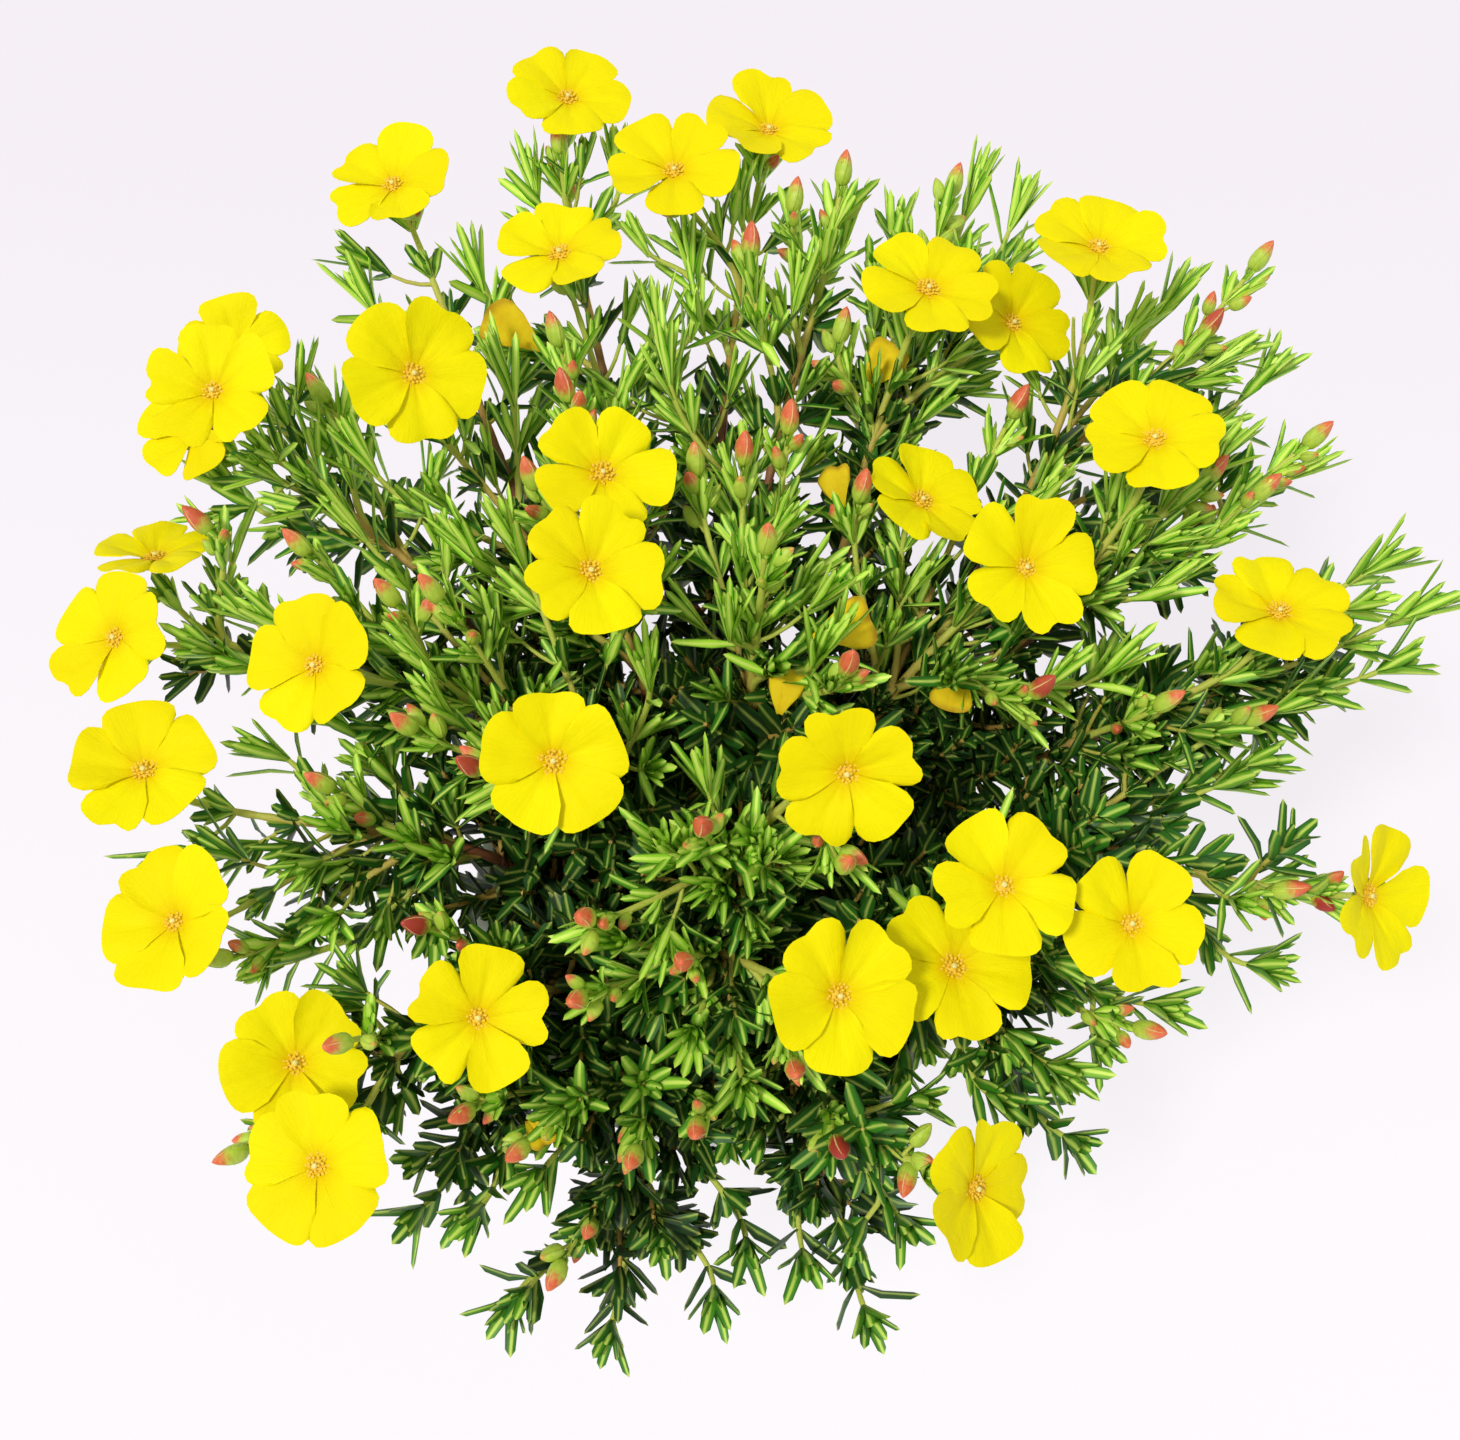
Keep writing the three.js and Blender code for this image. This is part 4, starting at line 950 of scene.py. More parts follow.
fallen_body = Body(spent_petal)
draw = np.random.default_rng(41)
for across, down, height, turn, reach in FALLEN:
    petal = petal_shape(math.radians(turn), reach, 2 * reach, FALLEN_CUP, FALLEN_HALF_ANGLE, draw)
    (points, faces), (along_petal, _) = petal
    lean = unit(np.array([draw.uniform(-0.5, 0.5), draw.uniform(-0.7, 0.1), 1.0]))
    points = points - points.mean(axis=0)
    place = on_photo(across, down, height)
    fallen_body.add((points @ bloom_axes(lean) + place, faces), along=along_petal)
fallen_body.build("fallen_petals", sharp=60)

# Leafy sprays: green shoots that grow on from the brown limbs. Their narrow leaves stand in
# opposite pairs, each pair square to the next, with tufts of young leaves in the joints, and
# they end in buds, flower calyces or bundles of upright leaves.

IN_LEAF, IN_STEM, IN_BUD = 0, 1, 2
CLEARANCE = 0.5
BEND_TRIES = 24
FIRST_BOW = 3
BOW_GROWTH = 2.2
BUD_LENGTH = 10
BUD_RADIUS = 2.7
BUD_SWELL = 1.05
BUD_TWIST = 0.6
SHOOT_TIP_BACK = 13
FORK_MARGIN = 4
LEAF_TURN = 2.4
STEM_BROWN_BY = 95
PAIRS_OPEN_BY = 45
PAIR_WIDTHS = (2.8, 3.5)
YOUNG_WIDTHS = (2.3, 3.1)
TIP_LEAVES = 14
TUFT_LEAVES = 10
TUFT_LENGTHS = (10, 21)
ROSETTE_LEAVES = 11
ROSETTE_SPREADS = (0.25, 1.1)
ROSETTE_LENGTHS = (8, 14)
ROSETTE_WIDTHS = (2.8, 4.9)
SIDE_SHOOT_RADII = (0.75, 0.5)
SIDE_SHOOT_LENGTHS = (8, 20)
SIDE_SHOOT_GAPS = (13, 7.5)
FRONT_RIM_GAP = 5
FRONT_RIM_REACH = 100
FRONT_RIM_DEPTH = 20
SIDE_BUD_SIZES = (0.52, 0.82)
SIDE_BUD_GAP = 5.5
LEADING_BUD_GIRTH = 0.92
BUD_STALK_RADII = (0.6, 0.5)
# Leaves darken with age down from their twig's tip, and darken as painted shade down inside the
# bush
LEAVES_DARK_BY = 52
LEAVES_SHADED_BELOW = 178
SHADING_DEPTH = 70
SIDE_SHOOTS_OLD_AND_SHADED_BELOW = 186
ROSETTES_FROM_AGE = 0.62
# Low shoots have fewer, shorter, broader leaves that stand further open and closer in pairs
SHOOTS_LOW_BELOW = 192
LOWERING_DEPTH = 45
LOW_SHORTENING = 0.7
LOW_BROADENING = 1.5
LOW_SPREADING = 0.35
LOW_CLOSING = 0.75
# Widths and lengths of a flower's broad and narrow sepals
SEPALS = [(5.2, 8.5), (2.0, 5.5)]
# For each kind of tip: how far from it the first leaf pair stands, the pairs' spacing, their
# spreads near it and far from it, their lengths, and how far from it side shoots begin
SHOOT_PLANS = {
    "leafy": (7, 15, (0.3, 0.8), (17, 24), 34),
    "buds": (12, 15, (0.35, 0.85), (15, 22), 34),
    "bloom": (14, 16, (0.35, 0.85), (15, 23), 36),
}


def clear_run(start, end, start_way, end_way, radius, relatives, seed):
    """The first of some seeded bows that runs clear of every other piece, or the roomiest."""
    draw = seeded_draws(seed)
    strangers = [mark for mark in marks if mark[2] not in relatives]
    places = np.concatenate([mark[0] for mark in strangers])
    radii = np.concatenate([mark[1] for mark in strangers])
    reach = np.linalg.norm(end - start) + 40
    close = np.linalg.norm(places - start, axis=1) < reach
    places, radii = places[close], radii[close]
    best = None
    for attempt in range(BEND_TRIES):
        bow = np.array([next(draw) - 0.5, next(draw) - 0.5, next(draw) - 0.4])
        run = arched(start, end, start_way, end_way, bow * (FIRST_BOW + BOW_GROWTH * attempt))
        points = points_along(run)
        gaps = np.linalg.norm(points[:, None] - places, axis=-1) - radii - radius
        room = gaps.min() if gaps.size else math.inf
        over_pot = np.hypot(points[:, 0], points[:, 1]) < POT_RIM_RADIUS + 3
        if over_pot.any():
            room = min(room, (points[over_pot, 2] - radius - POT_HEIGHT - 1).min())
        if best is None or room > best[0]:
            best = (room, run)
        if room > CLEARANCE:
            break
    return best[1]


def twig_end(tip):
    """At a flower's back, under a bud, or within a leafy shoot's last leaves."""
    if tip["kind"] == "bloom":
        return bloom_seat(tip) - tip["facing"] * SEAT_GAP
    set_back = BUD_LENGTH / 2 if tip["kind"] == "buds" else SHOOT_TIP_BACK
    return tip["place"] - tip["facing"] * set_back


def grow_stem(spray, tip, start, start_way, radius, seed):
    """Adds the stem or twig that ends at a tip, clear of all but its own relatives."""
    relatives = [spray["name"], "woody_stems", tip.get("owner")]
    run = clear_run(start, twig_end(tip), start_way, tip["facing"], radius, relatives, seed)
    spray["runs"].append(run)
    add_marks(points_along(run), radius, spray["name"])


for number, spray in enumerate(sprays):
    spray["runs"] = []
    seed = 100 * (number + 1)
    grow_stem(spray, spray["tips"][0], spray["base"], spray["way"], STEM_RADII[0], seed)
for number, spray in enumerate(sprays):
    stem = spray["runs"][0]
    for place, tip in enumerate(spray["tips"][1:], 1):
        share = fork_share(stem, twig_end(tip))
        start = stem.place(share)
        start_way = unit(stem.way(share) + unit(twig_end(tip) - start))
        grow_stem(spray, tip, start, start_way, TWIG_RADII[0], 100 * (number + 1) + place)


class Leaves:
    """Leaves grown together: where each joins its twig, ways, size, curl, age and painted shade.
    """

    # Shares of the length at which a leaf's rings stand, their share of its width, and a ring's
    # corners, across the leaf and over it
    STATIONS = np.array([0.0, 0.4, 0.88])
    GIRTHS = np.array([0.4, 1.0, 0.72])
    SIDES = np.array([[1, 0.14], [0, -0.14], [-1, 0.14], [0, -0.42]])
    TWIST = 0.9
    SHORTENED = 0.62
    SHORTEST = 2

    def __init__(self, draw):
        self.draw = draw
        self.kept = []

    def grow(self, root, forward, side, spread, length, width, age, curl=None):
        way = forward * math.cos(spread) + side * math.sin(spread)
        across = unit(np.cross(forward, side))
        curl = self.draw.uniform(-0.38, 0.12) if curl is None else curl
        sizes = [length, width, curl, age, self.draw.uniform(0, 1)]
        self.kept.append(np.concatenate([root, way, across, np.cross(way, across), sizes]))

    def add_to(self, body):
        """Adds the leaves' skins to a body. One that meets a flower is shortened or left out."""
        kept = np.array(self.kept)
        root, way, across, over = (kept[:, 3 * i : 3 * i + 3] for i in range(4))
        length, width, curl, age, chance = kept[:, 12:].T

        def middle(t):
            reached = way * (length * t)[:, None]
            return root + reached + over * (curl * length * t * t)[:, None]

        for factor in (self.SHORTENED, 0.0):
            blocked = np.any([in_flower(middle(t)) for t in (0.35, 0.7, 1.0)], axis=0)
            length = np.where(blocked, length * factor, length)
        good = length > self.SHORTEST
        root, way, across, over = root[good], way[good], across[good], over[good]
        length, width, curl, age, chance = (v[good] for v in (length, width, curl, age, chance))
        rings = []
        for t, girth in zip(self.STATIONS, self.GIRTHS):
            half = width / 2 * girth
            twist = (chance - 0.5) * self.TWIST * t
            cosine, sine = np.cos(twist)[:, None], np.sin(twist)[:, None]
            turned_across = across * cosine + over * sine
            turned_over = over * cosine - across * sine
            ring = turned_across[:, None] * self.SIDES[:, :1]
            ring = ring + turned_over[:, None] * self.SIDES[:, 1:]
            rings.append(middle(t)[:, None] + ring * half[:, None, None])
        shape = skin(np.stack(rings, axis=1), root - way * 0.4, middle(1.0))
        sides = len(self.SIDES)
        along = np.concatenate([np.repeat(self.STATIONS, sides), [0, 1]])
        side = np.concatenate([np.tile(self.SIDES[:, 0], len(self.STATIONS)), [0, 0]])
        values = dict(along=np.tile(along, len(root)), across=np.tile(side, len(root)))
        values.update(age=np.repeat(age, len(along)), chance=np.repeat(chance, len(along)))
        body.add(shape, IN_LEAF, **values)


OPEN_AIR = 34
flower_seats = np.array([bloom_seat(tip) for tip in blooms])
flower_facings = np.array([tip["facing"] for tip in blooms])
flower_widths = np.array([tip["width"] for tip in blooms])
flower_cups = np.array([tip["cup"] for tip in blooms])


def in_flower(points):
    """Whether each point is in a flower's petals or in the open air over them."""
    gap = points[:, None] - flower_seats
    height = np.sum(gap * flower_facings, axis=-1)
    radius = np.linalg.norm(gap - height[..., None] * flower_facings, axis=-1)
    face = petal_height(radius / (flower_widths / 2), flower_widths, flower_cups)
    close = (radius < flower_widths / 2 + 1.0) & (height > face - 1.8) & (height < face + 14)
    over = (radius < flower_widths * 0.42) & (height > face) & (height < face + OPEN_AIR)
    return (close | over).any(axis=1)


def bud_shape(root, way, aside, length, radius):
    """A pointed bud of three rolled sepals that lap over each other."""
    levels = np.array([0.0, 0.12, 0.28, 0.46, 0.64, 0.8, 0.92])
    girths = np.array([0.5, 0.86, 1.0, 0.98, 0.83, 0.57, 0.3])
    angles = np.arange(12) / 12 * 2 * math.pi
    laps = 1 + 0.07 * np.cos(3 * angles) + 0.05 * np.sin(6 * angles)
    second = np.cross(way, aside)
    rings = []
    for level, girth in zip(levels, girths):
        twisted = (angles + BUD_TWIST * level)[:, None]
        ring = aside * np.cos(twisted) + second * np.sin(twisted)
        rings.append(root + way * (level * length) + ring * (laps * girth * radius)[:, None])
    shape = skin(np.array(rings)[None], (root - way * 0.3)[None], (root + way * length)[None])
    along = np.concatenate([np.repeat(levels, 12), [0, 1]])
    return shape, along, np.concatenate([np.tile(np.cos(3 * angles), len(levels)), [0, 0]])


green_leaf = Finish("green_leaf", Roughness=0.42, Specular_IOR_Level=0.33)
along, across = green_leaf.value("along"), abs(green_leaf.value("across"))
age, chance = green_leaf.value("age"), green_leaf.value("chance")
# Pale midrib, partly real and partly painted highlight: it is painted brighter to stand in for the
# leaves' sheen, and it fades on old and shaded leaves
rib_and_highlight = 1 - (across + 0.22 * age).rise(0.16, 0.58)
blotch = green_leaf.grain(5, 3)
lime = green_leaf.blend(chance, colour("80cc20"), colour("c6fa48"))
middle_green = green_leaf.blend(chance, colour("225e0e"), colour("40901a"))
dark_green = green_leaf.blend(chance, colour("0d230a"), colour("204717"))
young_to_grown = green_leaf.blend(age.rise(0.0, 0.5), lime, middle_green)
# Older leaves turn dark green, and so, as painted shade, do the leaves low inside the bush
flesh = green_leaf.blend(age.rise(0.4, 1.0), young_to_grown, dark_green)
shaded = green_leaf.blend(blotch.rise(0.4, 0.8) * 0.35, flesh, colour("2c6b18"))
# Painted shade: each leaf darkens along its edges, standing in for the shadow between close leaves
rim_painted_shade = green_leaf.blend(across.rise(0.62, 1.0) * 0.8, shaded, colour("1c4a10"))
ribbed_with_highlight = green_leaf.blend(rib_and_highlight * (0.98 - 0.7 * age), rim_painted_shade, colour("e4fb72"))
tipped = green_leaf.blend(along.rise(0.9, 1.0) * 0.4, ribbed_with_highlight, colour("c4c85a"))
green_leaf.feed(
    Base_Color=tipped,
    Roughness=0.36 + 0.25 * blotch,
    Normal=green_leaf.bump((1 - rib_and_highlight) + 0.3 * blotch, 0.12),
)

green_stem = Finish("green_stem", Roughness=0.55)
age = green_stem.value("age")
hairs = green_stem.grain(0.35, 4, (1, 1, 0.3))
ridges = green_stem.grain(1.5, 3)
young_stem = green_stem.blend(ridges, colour("b0cc46"), colour("d2cc58"))
ripe_stem = green_stem.blend(ridges, colour("c2b04c"), colour("c48c44"))
old_stem = green_stem.blend(ridges, colour("96582f"), colour("643e27"))
green_stem.feed(
    Base_Color=green_stem.blend(
        age.rise(0.75, 1.0),
        green_stem.blend(age.rise(0.2, 0.7), young_stem, ripe_stem),
        old_stem,
    ),
    Normal=green_stem.bump(hairs + ridges, 0.2),
)

red_bud = Finish("red_bud", Roughness=0.45)
along, lap = red_bud.value("along"), red_bud.value("across")
redness = red_bud.value("chance")
streaks = red_bud.grain(1.2, 3, (1, 1, 0.3))
base_green = red_bud.blend(streaks, colour("d4e050"), colour("94c238"))
deepness = redness.rise(0.8, 1.0)
blush = red_bud.blend(streaks, colour("f28c54"), colour("d8462a"))
blush = red_bud.blend(deepness, blush, colour("a83024"))
blush = red_bud.blend(lap.rise(0.7, 1.0) * 0.75, blush, colour("fadf90"))
coloured = (along + 0.8 * (redness - 0.8) + 0.4 * (streaks - 0.5)).rise(0.22, 0.6)
red_bud.feed(
    Base_Color=red_bud.blend(coloured, base_green, blush),
    Roughness=0.4 + 0.2 * streaks,
    Normal=red_bud.bump(streaks + lap.rise(0.6, 1.0), 0.2),
)


def leaf_zone(from_tip, height):
    """A leaf's age, fresh at the tips, with painted shade that darkens it far down inside the
    bush.
    """
    inside = (LEAVES_SHADED_BELOW - height) / SHADING_DEPTH
    return float(np.clip(from_tip / LEAVES_DARK_BY + 0.85 * max(inside, -0.12), 0, 1))


def lowness(height):
    """0 for the upright upper shoots, and 1 for the short-leaved shoots low round the bush."""
    return float(np.clip((SHOOTS_LOW_BELOW - height) / LOWERING_DEPTH, 0, 1))


def bunch(leaves, place, way, count, sizes, age, draw, opened=0.24):
    """Young leaves that stand close together on one joint."""
    aside = unit(np.cross(way, RIGHT + 0.4 * UP))
    beside = np.cross(way, aside)
    start = draw.uniform(0, 6)
    low = lowness(place[2])
    for k in range(count):
        angle = start + k * LEAF_TURN
        side = aside * math.cos(angle) + beside * math.sin(angle)
        grown = (k + 0.5) / count
        leaves.grow(
            place + side * 0.5,
            way,
            side,
            opened * grown**0.7 * between(1, 2.6, low) + draw.uniform(-0.05, 0.05),
            between(*sizes, grown) * draw.uniform(0.85, 1.1),
            draw.uniform(*YOUNG_WIDTHS) * between(1, LOW_BROADENING, low),
            age + draw.uniform(0, 0.12),
            curl=draw.uniform(-0.16, 0.1) - 0.14 * low,
        )


def pairs_along(leaves, run, first, gap, spreads, sizes, radius, draw, bunches=6):
    """Pairs of leaves down a twig from its tip, with bunches of young ones in their joints."""
    from_tip = first
    turn = draw.uniform(0, math.pi)
    while from_tip < run.length - FORK_MARGIN:
        share = 1 - from_tip / run.length
        place = run.place(share)
        opened = min(from_tip / PAIRS_OPEN_BY, 1)
        low = lowness(place[2])
        age = leaf_zone(from_tip, place[2])
        for half_turn in (0, math.pi):
            forward, side = run.beside(share, turn + half_turn + draw.uniform(-0.25, 0.25))
            root = place + side * radius * 0.7
            length = between(*sizes, draw.uniform(0, 1)) * between(1, 0.8, opened)
            length = length * between(1, LOW_SHORTENING, low)
            spread = between(*spreads, opened) + LOW_SPREADING * low + draw.uniform(-0.1, 0.15)
            width = draw.uniform(*PAIR_WIDTHS) * between(0.95, 1.25, opened)
            width = width * between(1, LOW_BROADENING, low)
            leaves.grow(root, forward, side, spread, length, width, age)
            if from_tip > 7:
                way = unit(forward + side * between(0.35, 0.7, opened) * draw.uniform(0.8, 1.2))
                most = bunches + int(draw.integers(0, 3))
                length = length * between(0.95, 0.75, opened)
                bunch_sizes = (length * 0.55, length * 0.95)
                bunch(leaves, root, way, most, bunch_sizes, max(age - 0.3, 0), draw, 0.2)
        turn += math.pi / 2
        step = gap * draw.uniform(0.8, 1.2) * between(0.85, 1.2, opened)
        from_tip += step * between(1, LOW_CLOSING, low)


def shoot_tip(leaves, run, sizes, draw):
    """The brush of upright leaves at a shoot's tip."""
    place = run.place(1.0)
    way = run.way(1.0)
    low = lowness(place[2])
    sizes = [size * between(1, 0.66, low) for size in sizes]
    count = round(TIP_LEAVES - 6 * low)
    bunch(leaves, place - way * (3 - 2 * low), way, count, sizes, 0.35 * low, draw, 0.2)


def add_stem(body, run, radii, sides, step, knots=0.06):
    """A twig that is green at its tip and browner further down."""
    shape, shares = tube(run, radii, sides, step, knots)
    body.add(shape, IN_STEM, age=np.clip((1 - shares) * run.length / STEM_BROWN_BY, 0, 1))


def side_bud(body, run, from_tip, size, redness, draw):
    """A smaller bud on a short stalk."""
    share = 1 - from_tip / run.length
    forward, side = run.beside(share, draw.uniform(0, 2 * math.pi))
    start = run.place(share)
    way = unit(forward + side * draw.uniform(0.6, 0.9))
    end = start + way * draw.uniform(2.5, 5)
    length, radius = BUD_LENGTH * BUD_SWELL * size, BUD_RADIUS * BUD_SWELL * size
    if in_flower(np.array([end, end + way * length])).any():
        return
    stalk = tube(arched(start, end, unit(forward + side), way), BUD_STALK_RADII, 5, 2)[0]
    body.add(stalk, IN_STEM, age=0.1)
    aside = unit(np.cross(way, forward))
    shape, along, lap = bud_shape(end, way, aside, length, radius)
    body.add(shape, IN_BUD, along=along, across=lap, chance=redness)


def side_shoots(body, leaves, run, first, draw):
    """Short leafy shoots down the older part of a twig."""
    from_tip = first * draw.uniform(0.8, 1.2)
    while from_tip < run.length - FORK_MARGIN:
        share = 1 - from_tip / run.length
        start = run.place(share)
        forward, side = run.beside(share, draw.uniform(0, 2 * math.pi))
        near_middle = np.hypot(start[0], start[1]) < FRONT_RIM_REACH
        over_front_rim = near_middle and start[1] < FRONT_RIM_DEPTH
        gap = FRONT_RIM_GAP if over_front_rim else between(*SIDE_SHOOT_GAPS, lowness(start[2]))
        way = unit(forward * 0.7 + side + UP * 0.25)
        end = start + way * draw.uniform(*SIDE_SHOOT_LENGTHS)
        from_tip += gap * draw.uniform(0.7, 1.3)
        # Side shoots lower down are older, and their leaves and stems are painted darker as shade
        # inside the bush
        inside = (SIDE_SHOOTS_OLD_AND_SHADED_BELOW - end[2]) / SHADING_DEPTH
        age = float(np.clip(0.48 + inside + draw.uniform(-0.25, 0.25), 0.1, 1))
        shoot = arched(start, end, unit(way + side), unit(way + UP * 0.5))
        if np.hypot(end[0], end[1]) < POT_RIM_RADIUS + 12 and end[2] < POT_HEIGHT + 6:
            continue
        body.add(tube(shoot, SIDE_SHOOT_RADII, 5, 5)[0], IN_STEM, age=age * 0.7)
        if age < ROSETTES_FROM_AGE:
            tuft(leaves, shoot, age, draw)
        else:
            rosette(leaves, shoot, age, draw)


def tuft(leaves, run, age, draw):
    """A close bundle of narrow leaves over one open pair, on a young short shoot."""
    turn = draw.uniform(0, math.pi)
    for angle in (turn, turn + math.pi):
        way, side = run.beside(0.75, angle)
        spread, length = draw.uniform(0.6, 0.95), draw.uniform(11, 16)
        leaves.grow(run.place(0.75), way, side, spread, length, draw.uniform(2.8, 3.6), age)
    place, young = run.place(0.95), max(age - 0.3, 0)
    bunch(leaves, place, run.way(1.0), TUFT_LEAVES, TUFT_LENGTHS, young, draw, 0.22)


def rosette(leaves, run, age, draw):
    """Leaves close together round a short shoot and its tip."""
    turn = draw.uniform(0, math.pi)
    for k in range(ROSETTE_LEAVES):
        share = 1 - (k // 2) / (ROSETTE_LEAVES / 2) * 0.85
        angle = turn + (k % 2) * math.pi + (k // 2) * math.pi / 2 + draw.uniform(-0.2, 0.2)
        forward, side = run.beside(share, angle)
        grown = k / ROSETTE_LEAVES
        full = min(grown * 2, 1)
        spread = between(*ROSETTE_SPREADS, grown) + draw.uniform(-0.1, 0.15)
        length = between(*ROSETTE_LENGTHS, full) * draw.uniform(0.85, 1.15)
        width = between(*ROSETTE_WIDTHS, full) * draw.uniform(0.85, 1.1)
        leaf_age_and_shade = float(np.clip(age - 0.25 + 0.35 * grown, 0, 1))
        root = run.place(share) + side * 0.4
        leaves.grow(root, forward, side, spread, length, width, leaf_age_and_shade)


def bud_cluster(body, leaves, run, count, draw):
    """A leading bud on the twig's end, with smaller and greener ones down beside it."""
    forward, aside = run.beside(1.0, 0)
    place = run.place(1.0)
    length, radius = BUD_LENGTH * BUD_SWELL, BUD_RADIUS * BUD_SWELL * LEADING_BUD_GIRTH
    shape, along, lap = bud_shape(place, forward, aside, length, radius)
    body.add(shape, IN_BUD, along=along, across=lap, chance=draw.uniform(0.35, 1))
    for k in range(count + 1):
        size = draw.uniform(*SIDE_BUD_SIZES)
        from_tip = 5 + SIDE_BUD_GAP * k + draw.uniform(0, 2)
        side_bud(body, run, from_tip, size, draw.uniform(0, 0.7), draw)
    for k in range(4):
        side = run.beside(1.0, k * LEAF_TURN)[1]
        root = place - forward * 1.5 * k
        leaves.grow(root, forward, side, 0.45, draw.uniform(4, 8), 2.8, 0.15, 0.2)


def calyx(leaves, tip):
    """Sepals that spread under a flower, three broad and two narrow."""
    axes, seat = bloom_axes(tip["facing"]), bloom_seat(tip)
    for k in range(5):
        angle = tip["turn"] + k * 2 * math.pi / 5 + 0.6
        side = axes[0] * math.cos(angle) + axes[1] * math.sin(angle)
        width, length = SEPALS[k % 2]
        root = seat + side * 1.2 - tip["facing"] * 0.6
        leaves.grow(root, tip["facing"], side, 1.25, length, width, 0.25, 0.16)


for number, spray in enumerate(sprays):
    draw = np.random.default_rng(500 + number)
    body = Body(green_leaf, green_stem, red_bud)
    leaves = Leaves(draw)
    for place, (tip, run) in enumerate(zip(spray["tips"], spray["runs"])):
        radii = STEM_RADII if place == 0 else TWIG_RADII
        add_stem(body, run, (radii[0], radii[1] * 0.8), 7, 3, 0.09)
        if tip["kind"] == "leafy":
            shoot_tip(leaves, run, (14, 24), draw)
        elif tip["kind"] == "buds":
            bud_cluster(body, leaves, run, tip["count"], draw)
        else:
            calyx(leaves, tip)
            for k in range(int(draw.integers(0, 3))):
                side_bud(body, run, 12 + 2 * k, draw.uniform(0.6, 0.9), draw.uniform(0, 1), draw)
        *pairs, first_shoot = SHOOT_PLANS[tip["kind"]]
        pairs_along(leaves, run, *pairs, radii[1], draw)
        side_shoots(body, leaves, run, first_shoot, draw)
    leaves.add_to(body)
    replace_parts(body.build(f"green_shoots_{number + 1:02d}", sharp=80), spray["name"])

# Odd twigs: short leafy side twigs round the bush's edge and over the pot's rim in front. Each
# forks from the stem that passes nearest to it on the inside, and carries the sprays' leaves.

# Where the tip of each shows in the photograph, and its height
TWIG_TIPS = [
    (402, 1172, 152), (446, 1228, 148), (376, 1108, 160), (512, 1316, 138), (656, 1262, 142),
    (866, 1262, 142), (930, 1112, 166), (1076, 1090, 164), (1122, 1046, 166), (1384, 590, 184),
    (1322, 452, 196), (1236, 340, 198), (690, 300, 206), (640, 216, 206), (812, 262, 206),
    (219, 652, 184), (352, 756, 186), (246, 966, 172), (330, 1010, 168), (916, 1074, 150),
    (882, 1092, 146), (942, 1046, 154), (728, 1154, 148), (692, 1142, 150), (764, 1150, 150),
]

ODD_TWIG_RADII = (0.95, 0.6)
ODD_TWIG_BACK = 9
SHORTEST_ODD_TWIG = 14

odd = Body(green_leaf, green_stem)
draw = np.random.default_rng(91)
leaves = Leaves(draw)
stems = [run for spray in sprays for run in spray["runs"]]
shares = np.arange(0.1, 0.95, 0.05)
fork_places = np.array([stem.place(shares) for stem in stems])
from_middle = np.hypot(fork_places[..., 0], fork_places[..., 1])
for across, down, height in TWIG_TIPS:
    tip = on_photo(across, down, height)
    end = tip - outward(tip) * ODD_TWIG_BACK
    gaps = np.linalg.norm(fork_places - end, axis=-1)
    inside = from_middle < np.hypot(end[0], end[1]) - 5
    nearest = np.argmin(np.where(inside & (gaps > SHORTEST_ODD_TWIG), gaps, np.inf))
    chosen, at = np.unravel_index(nearest, gaps.shape)
    start = fork_places[chosen, at]
    way = unit(end - start)
    run = arched(start, end, unit(stems[chosen].way(shares[at]) + way), unit(way + outward(tip)))
    add_stem(odd, run, ODD_TWIG_RADII, 6, 4)
    shoot_tip(leaves, run, (11, 18), draw)
    pairs_along(leaves, run, 6, 12, (0.35, 0.9), (13, 19), 0.8, draw, bunches=4)
leaves.add_to(odd)
odd.build("odd_twigs", sharp=80)

# Inner shoots: short leafy side shoots on the brown limbs, in the shade under the flowers. They
# are the oldest leaves, dark with age and with painted shade, and stand closest on the limbs'
# front part.

FRONT_DEPTH = 35
FRONT_GAPS = (1.3, 2.3)
BACK_GAPS = (2.7, 4.9)
INNER_LENGTHS = (14, 32)
INNER_RADII = (0.9, 0.6)
INNER_AGE_AND_SHADE = 0.95

inner = Body(green_leaf, green_stem)
draw = np.random.default_rng(77)
leaves = Leaves(draw)
for run in wood_runs:
    travelled = run.length * 0.22
    while travelled < run.length:
        share = travelled / run.length
        forward, side = run.beside(share, draw.uniform(0, 2 * math.pi))
        way = unit(forward * 0.6 + side + UP * 0.5)
        start = run.place(share)
        end = start + way * draw.uniform(*INNER_LENGTHS)
        travelled += draw.uniform(*(FRONT_GAPS if start[1] < FRONT_DEPTH else BACK_GAPS))
        if end[2] < POT_HEIGHT + 4:
            continue
        shoot = arched(start, end, side, unit(way + UP * 0.4))
        inner.add(tube(shoot, INNER_RADII, 6, 4)[0], IN_STEM, age=0.75)
        rosette(leaves, shoot, INNER_AGE_AND_SHADE, draw)
leaves.add_to(inner)
inner.build("inner_shoots", sharp=80)

# Room: a plain pale floor that glows with painted light and dims a little towards its far side,
# soft studio light from above, and the camera at the photograph's angle.

FLOOR_REACH = 4000
DIMMING_STARTS = -180 * MM
DIMMING_ENDS = 500 * MM
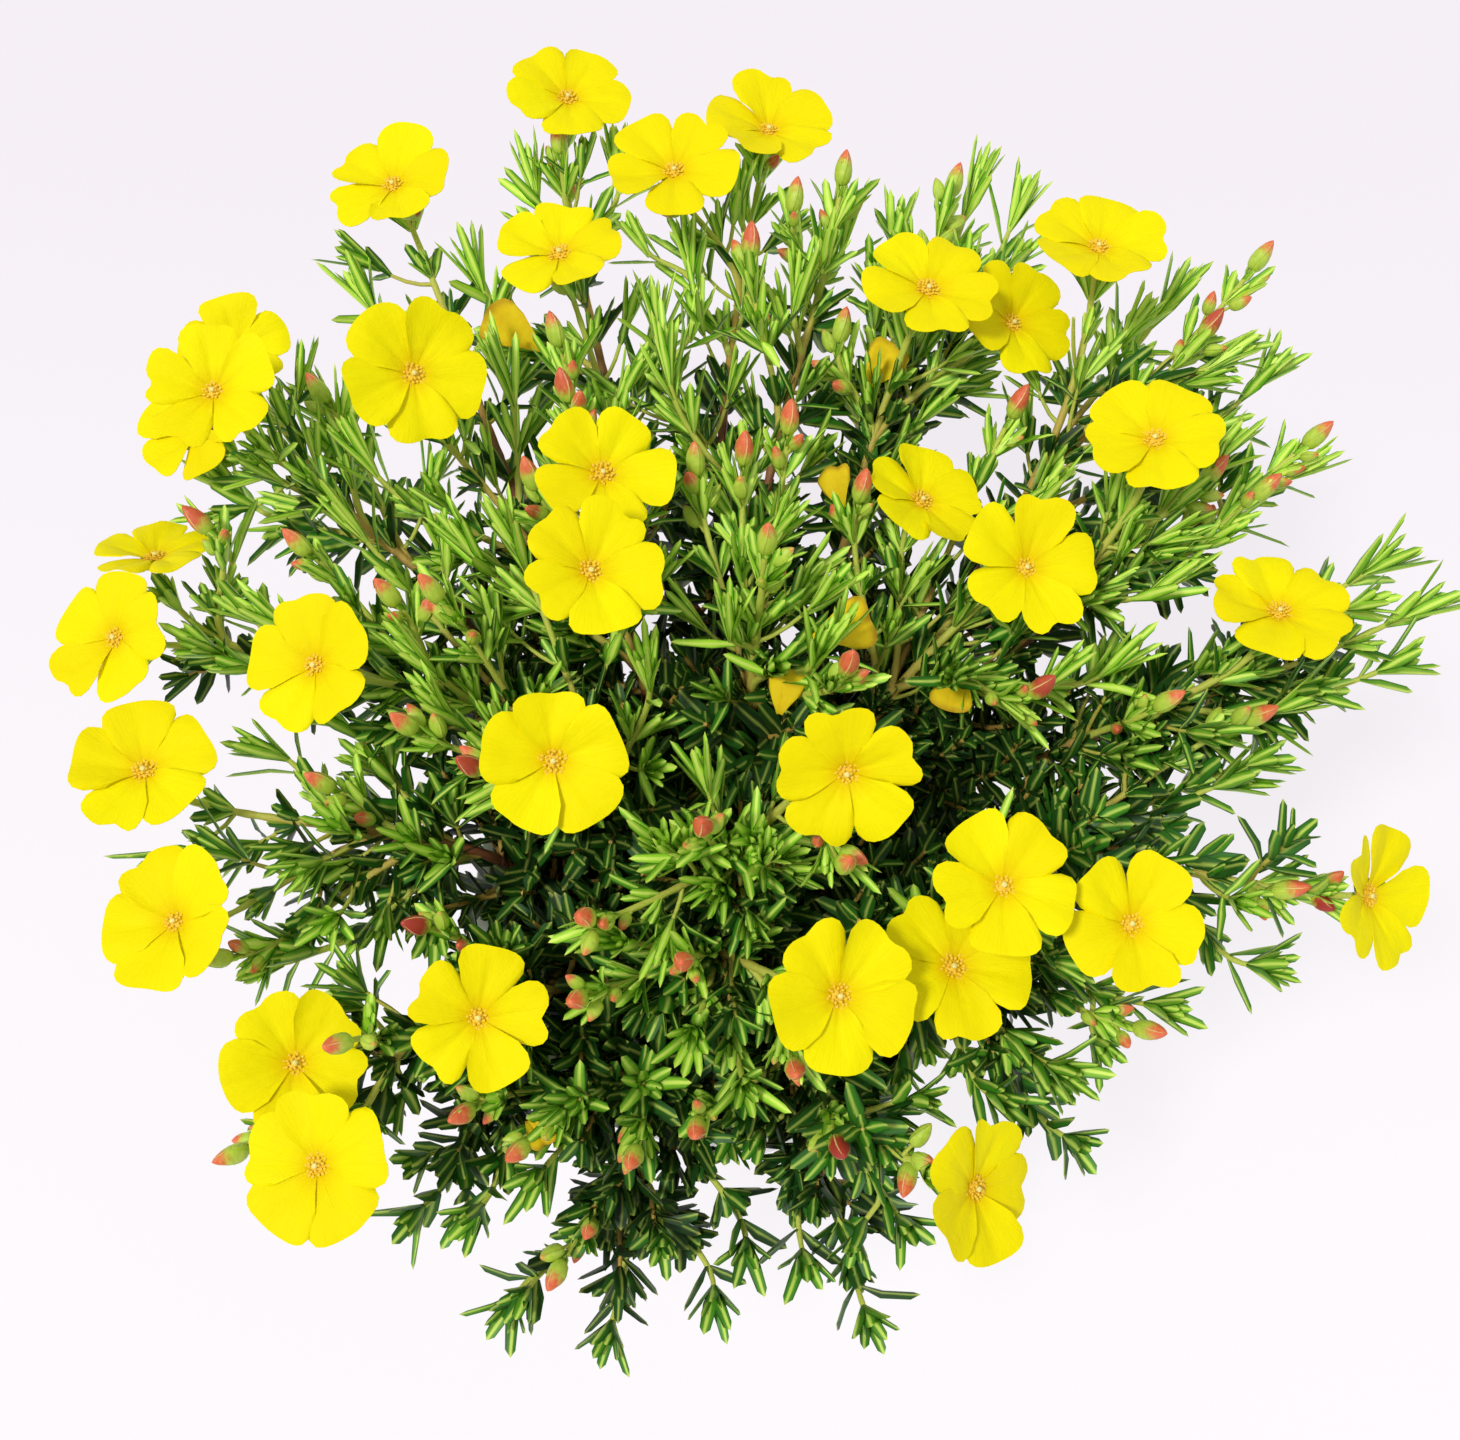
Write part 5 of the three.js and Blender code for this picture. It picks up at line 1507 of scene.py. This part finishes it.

# The floor gives off light of its own: painted light that keeps it near white and its shadows
# faint, and dims towards the far side as painted falloff
pale_floor = Finish("pale_floor", Roughness=0.9, Specular_IOR_Level=0.1, Emission_Strength=0.82)
floor_tone = pale_floor.grain(900)
away = pale_floor.node("ShaderNodeSeparateXYZ", {}, {0: pale_floor.place()}, "Y")
painted_falloff = away.rise(DIMMING_STARTS, DIMMING_ENDS)
pale_floor.feed(
    Base_Color=pale_floor.blend(floor_tone, colour("6b686a"), colour("706d6f")),
    Emission_Color=pale_floor.blend(painted_falloff, colour("fffcff"), colour("f3edf4")),
)
floor_corners = np.array([[-1, -1, 0], [1, -1, 0], [1, 1, 0], [-1, 1, 0]]) * FLOOR_REACH
floor_mesh = bpy.data.meshes.new("floor")
floor_mesh.from_pydata(floor_corners * MM, [], [(0, 1, 2, 3)])
floor_mesh.materials.append(pale_floor.material)
floor = bpy.data.objects.new("floor", floor_mesh)
bpy.context.collection.objects.link(floor)
floor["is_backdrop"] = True

scene = bpy.context.scene
scene.view_settings.view_transform = "Standard"
scene.world = bpy.data.worlds.new("pale_air")
scene.world.use_nodes = True
air = scene.world.node_tree.nodes["Background"].inputs
air["Color"].default_value = (0.98, 0.97, 0.985, 1)
air["Strength"].default_value = 0.57


def soft_sun(name, leans, strength, width):
    """Even light from above that leans by degrees round the X and Y axes."""
    lamp = bpy.data.lights.new(name, "SUN")
    lamp.energy = strength
    lamp.angle = math.radians(width)
    made = bpy.data.objects.new(name, lamp)
    bpy.context.collection.objects.link(made)
    made.rotation_euler = [math.radians(lean) for lean in (*leans, 0)]


soft_sun("key", (16, -22), 1.95, 10)
soft_sun("fill", (-30, 30), 0.25, 60)

camera_data = bpy.data.cameras.new("camera")
camera_data.sensor_width = 36
camera_data.lens = camera_data.sensor_width * PHOTO_FOCAL_PIXELS / PHOTO_WIDTH
camera_data.clip_start = 0.01
camera = bpy.data.objects.new("camera", camera_data)
bpy.context.collection.objects.link(camera)
camera.location = lens_place * MM
camera.rotation_euler = (math.pi / 2 - LENS_DOWNWARD, 0, 0)
scene.camera = camera

corners = {"frame": frame_box, "visual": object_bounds()}
{name: [list(corner) for corner in box] for name, box in corners.items()}
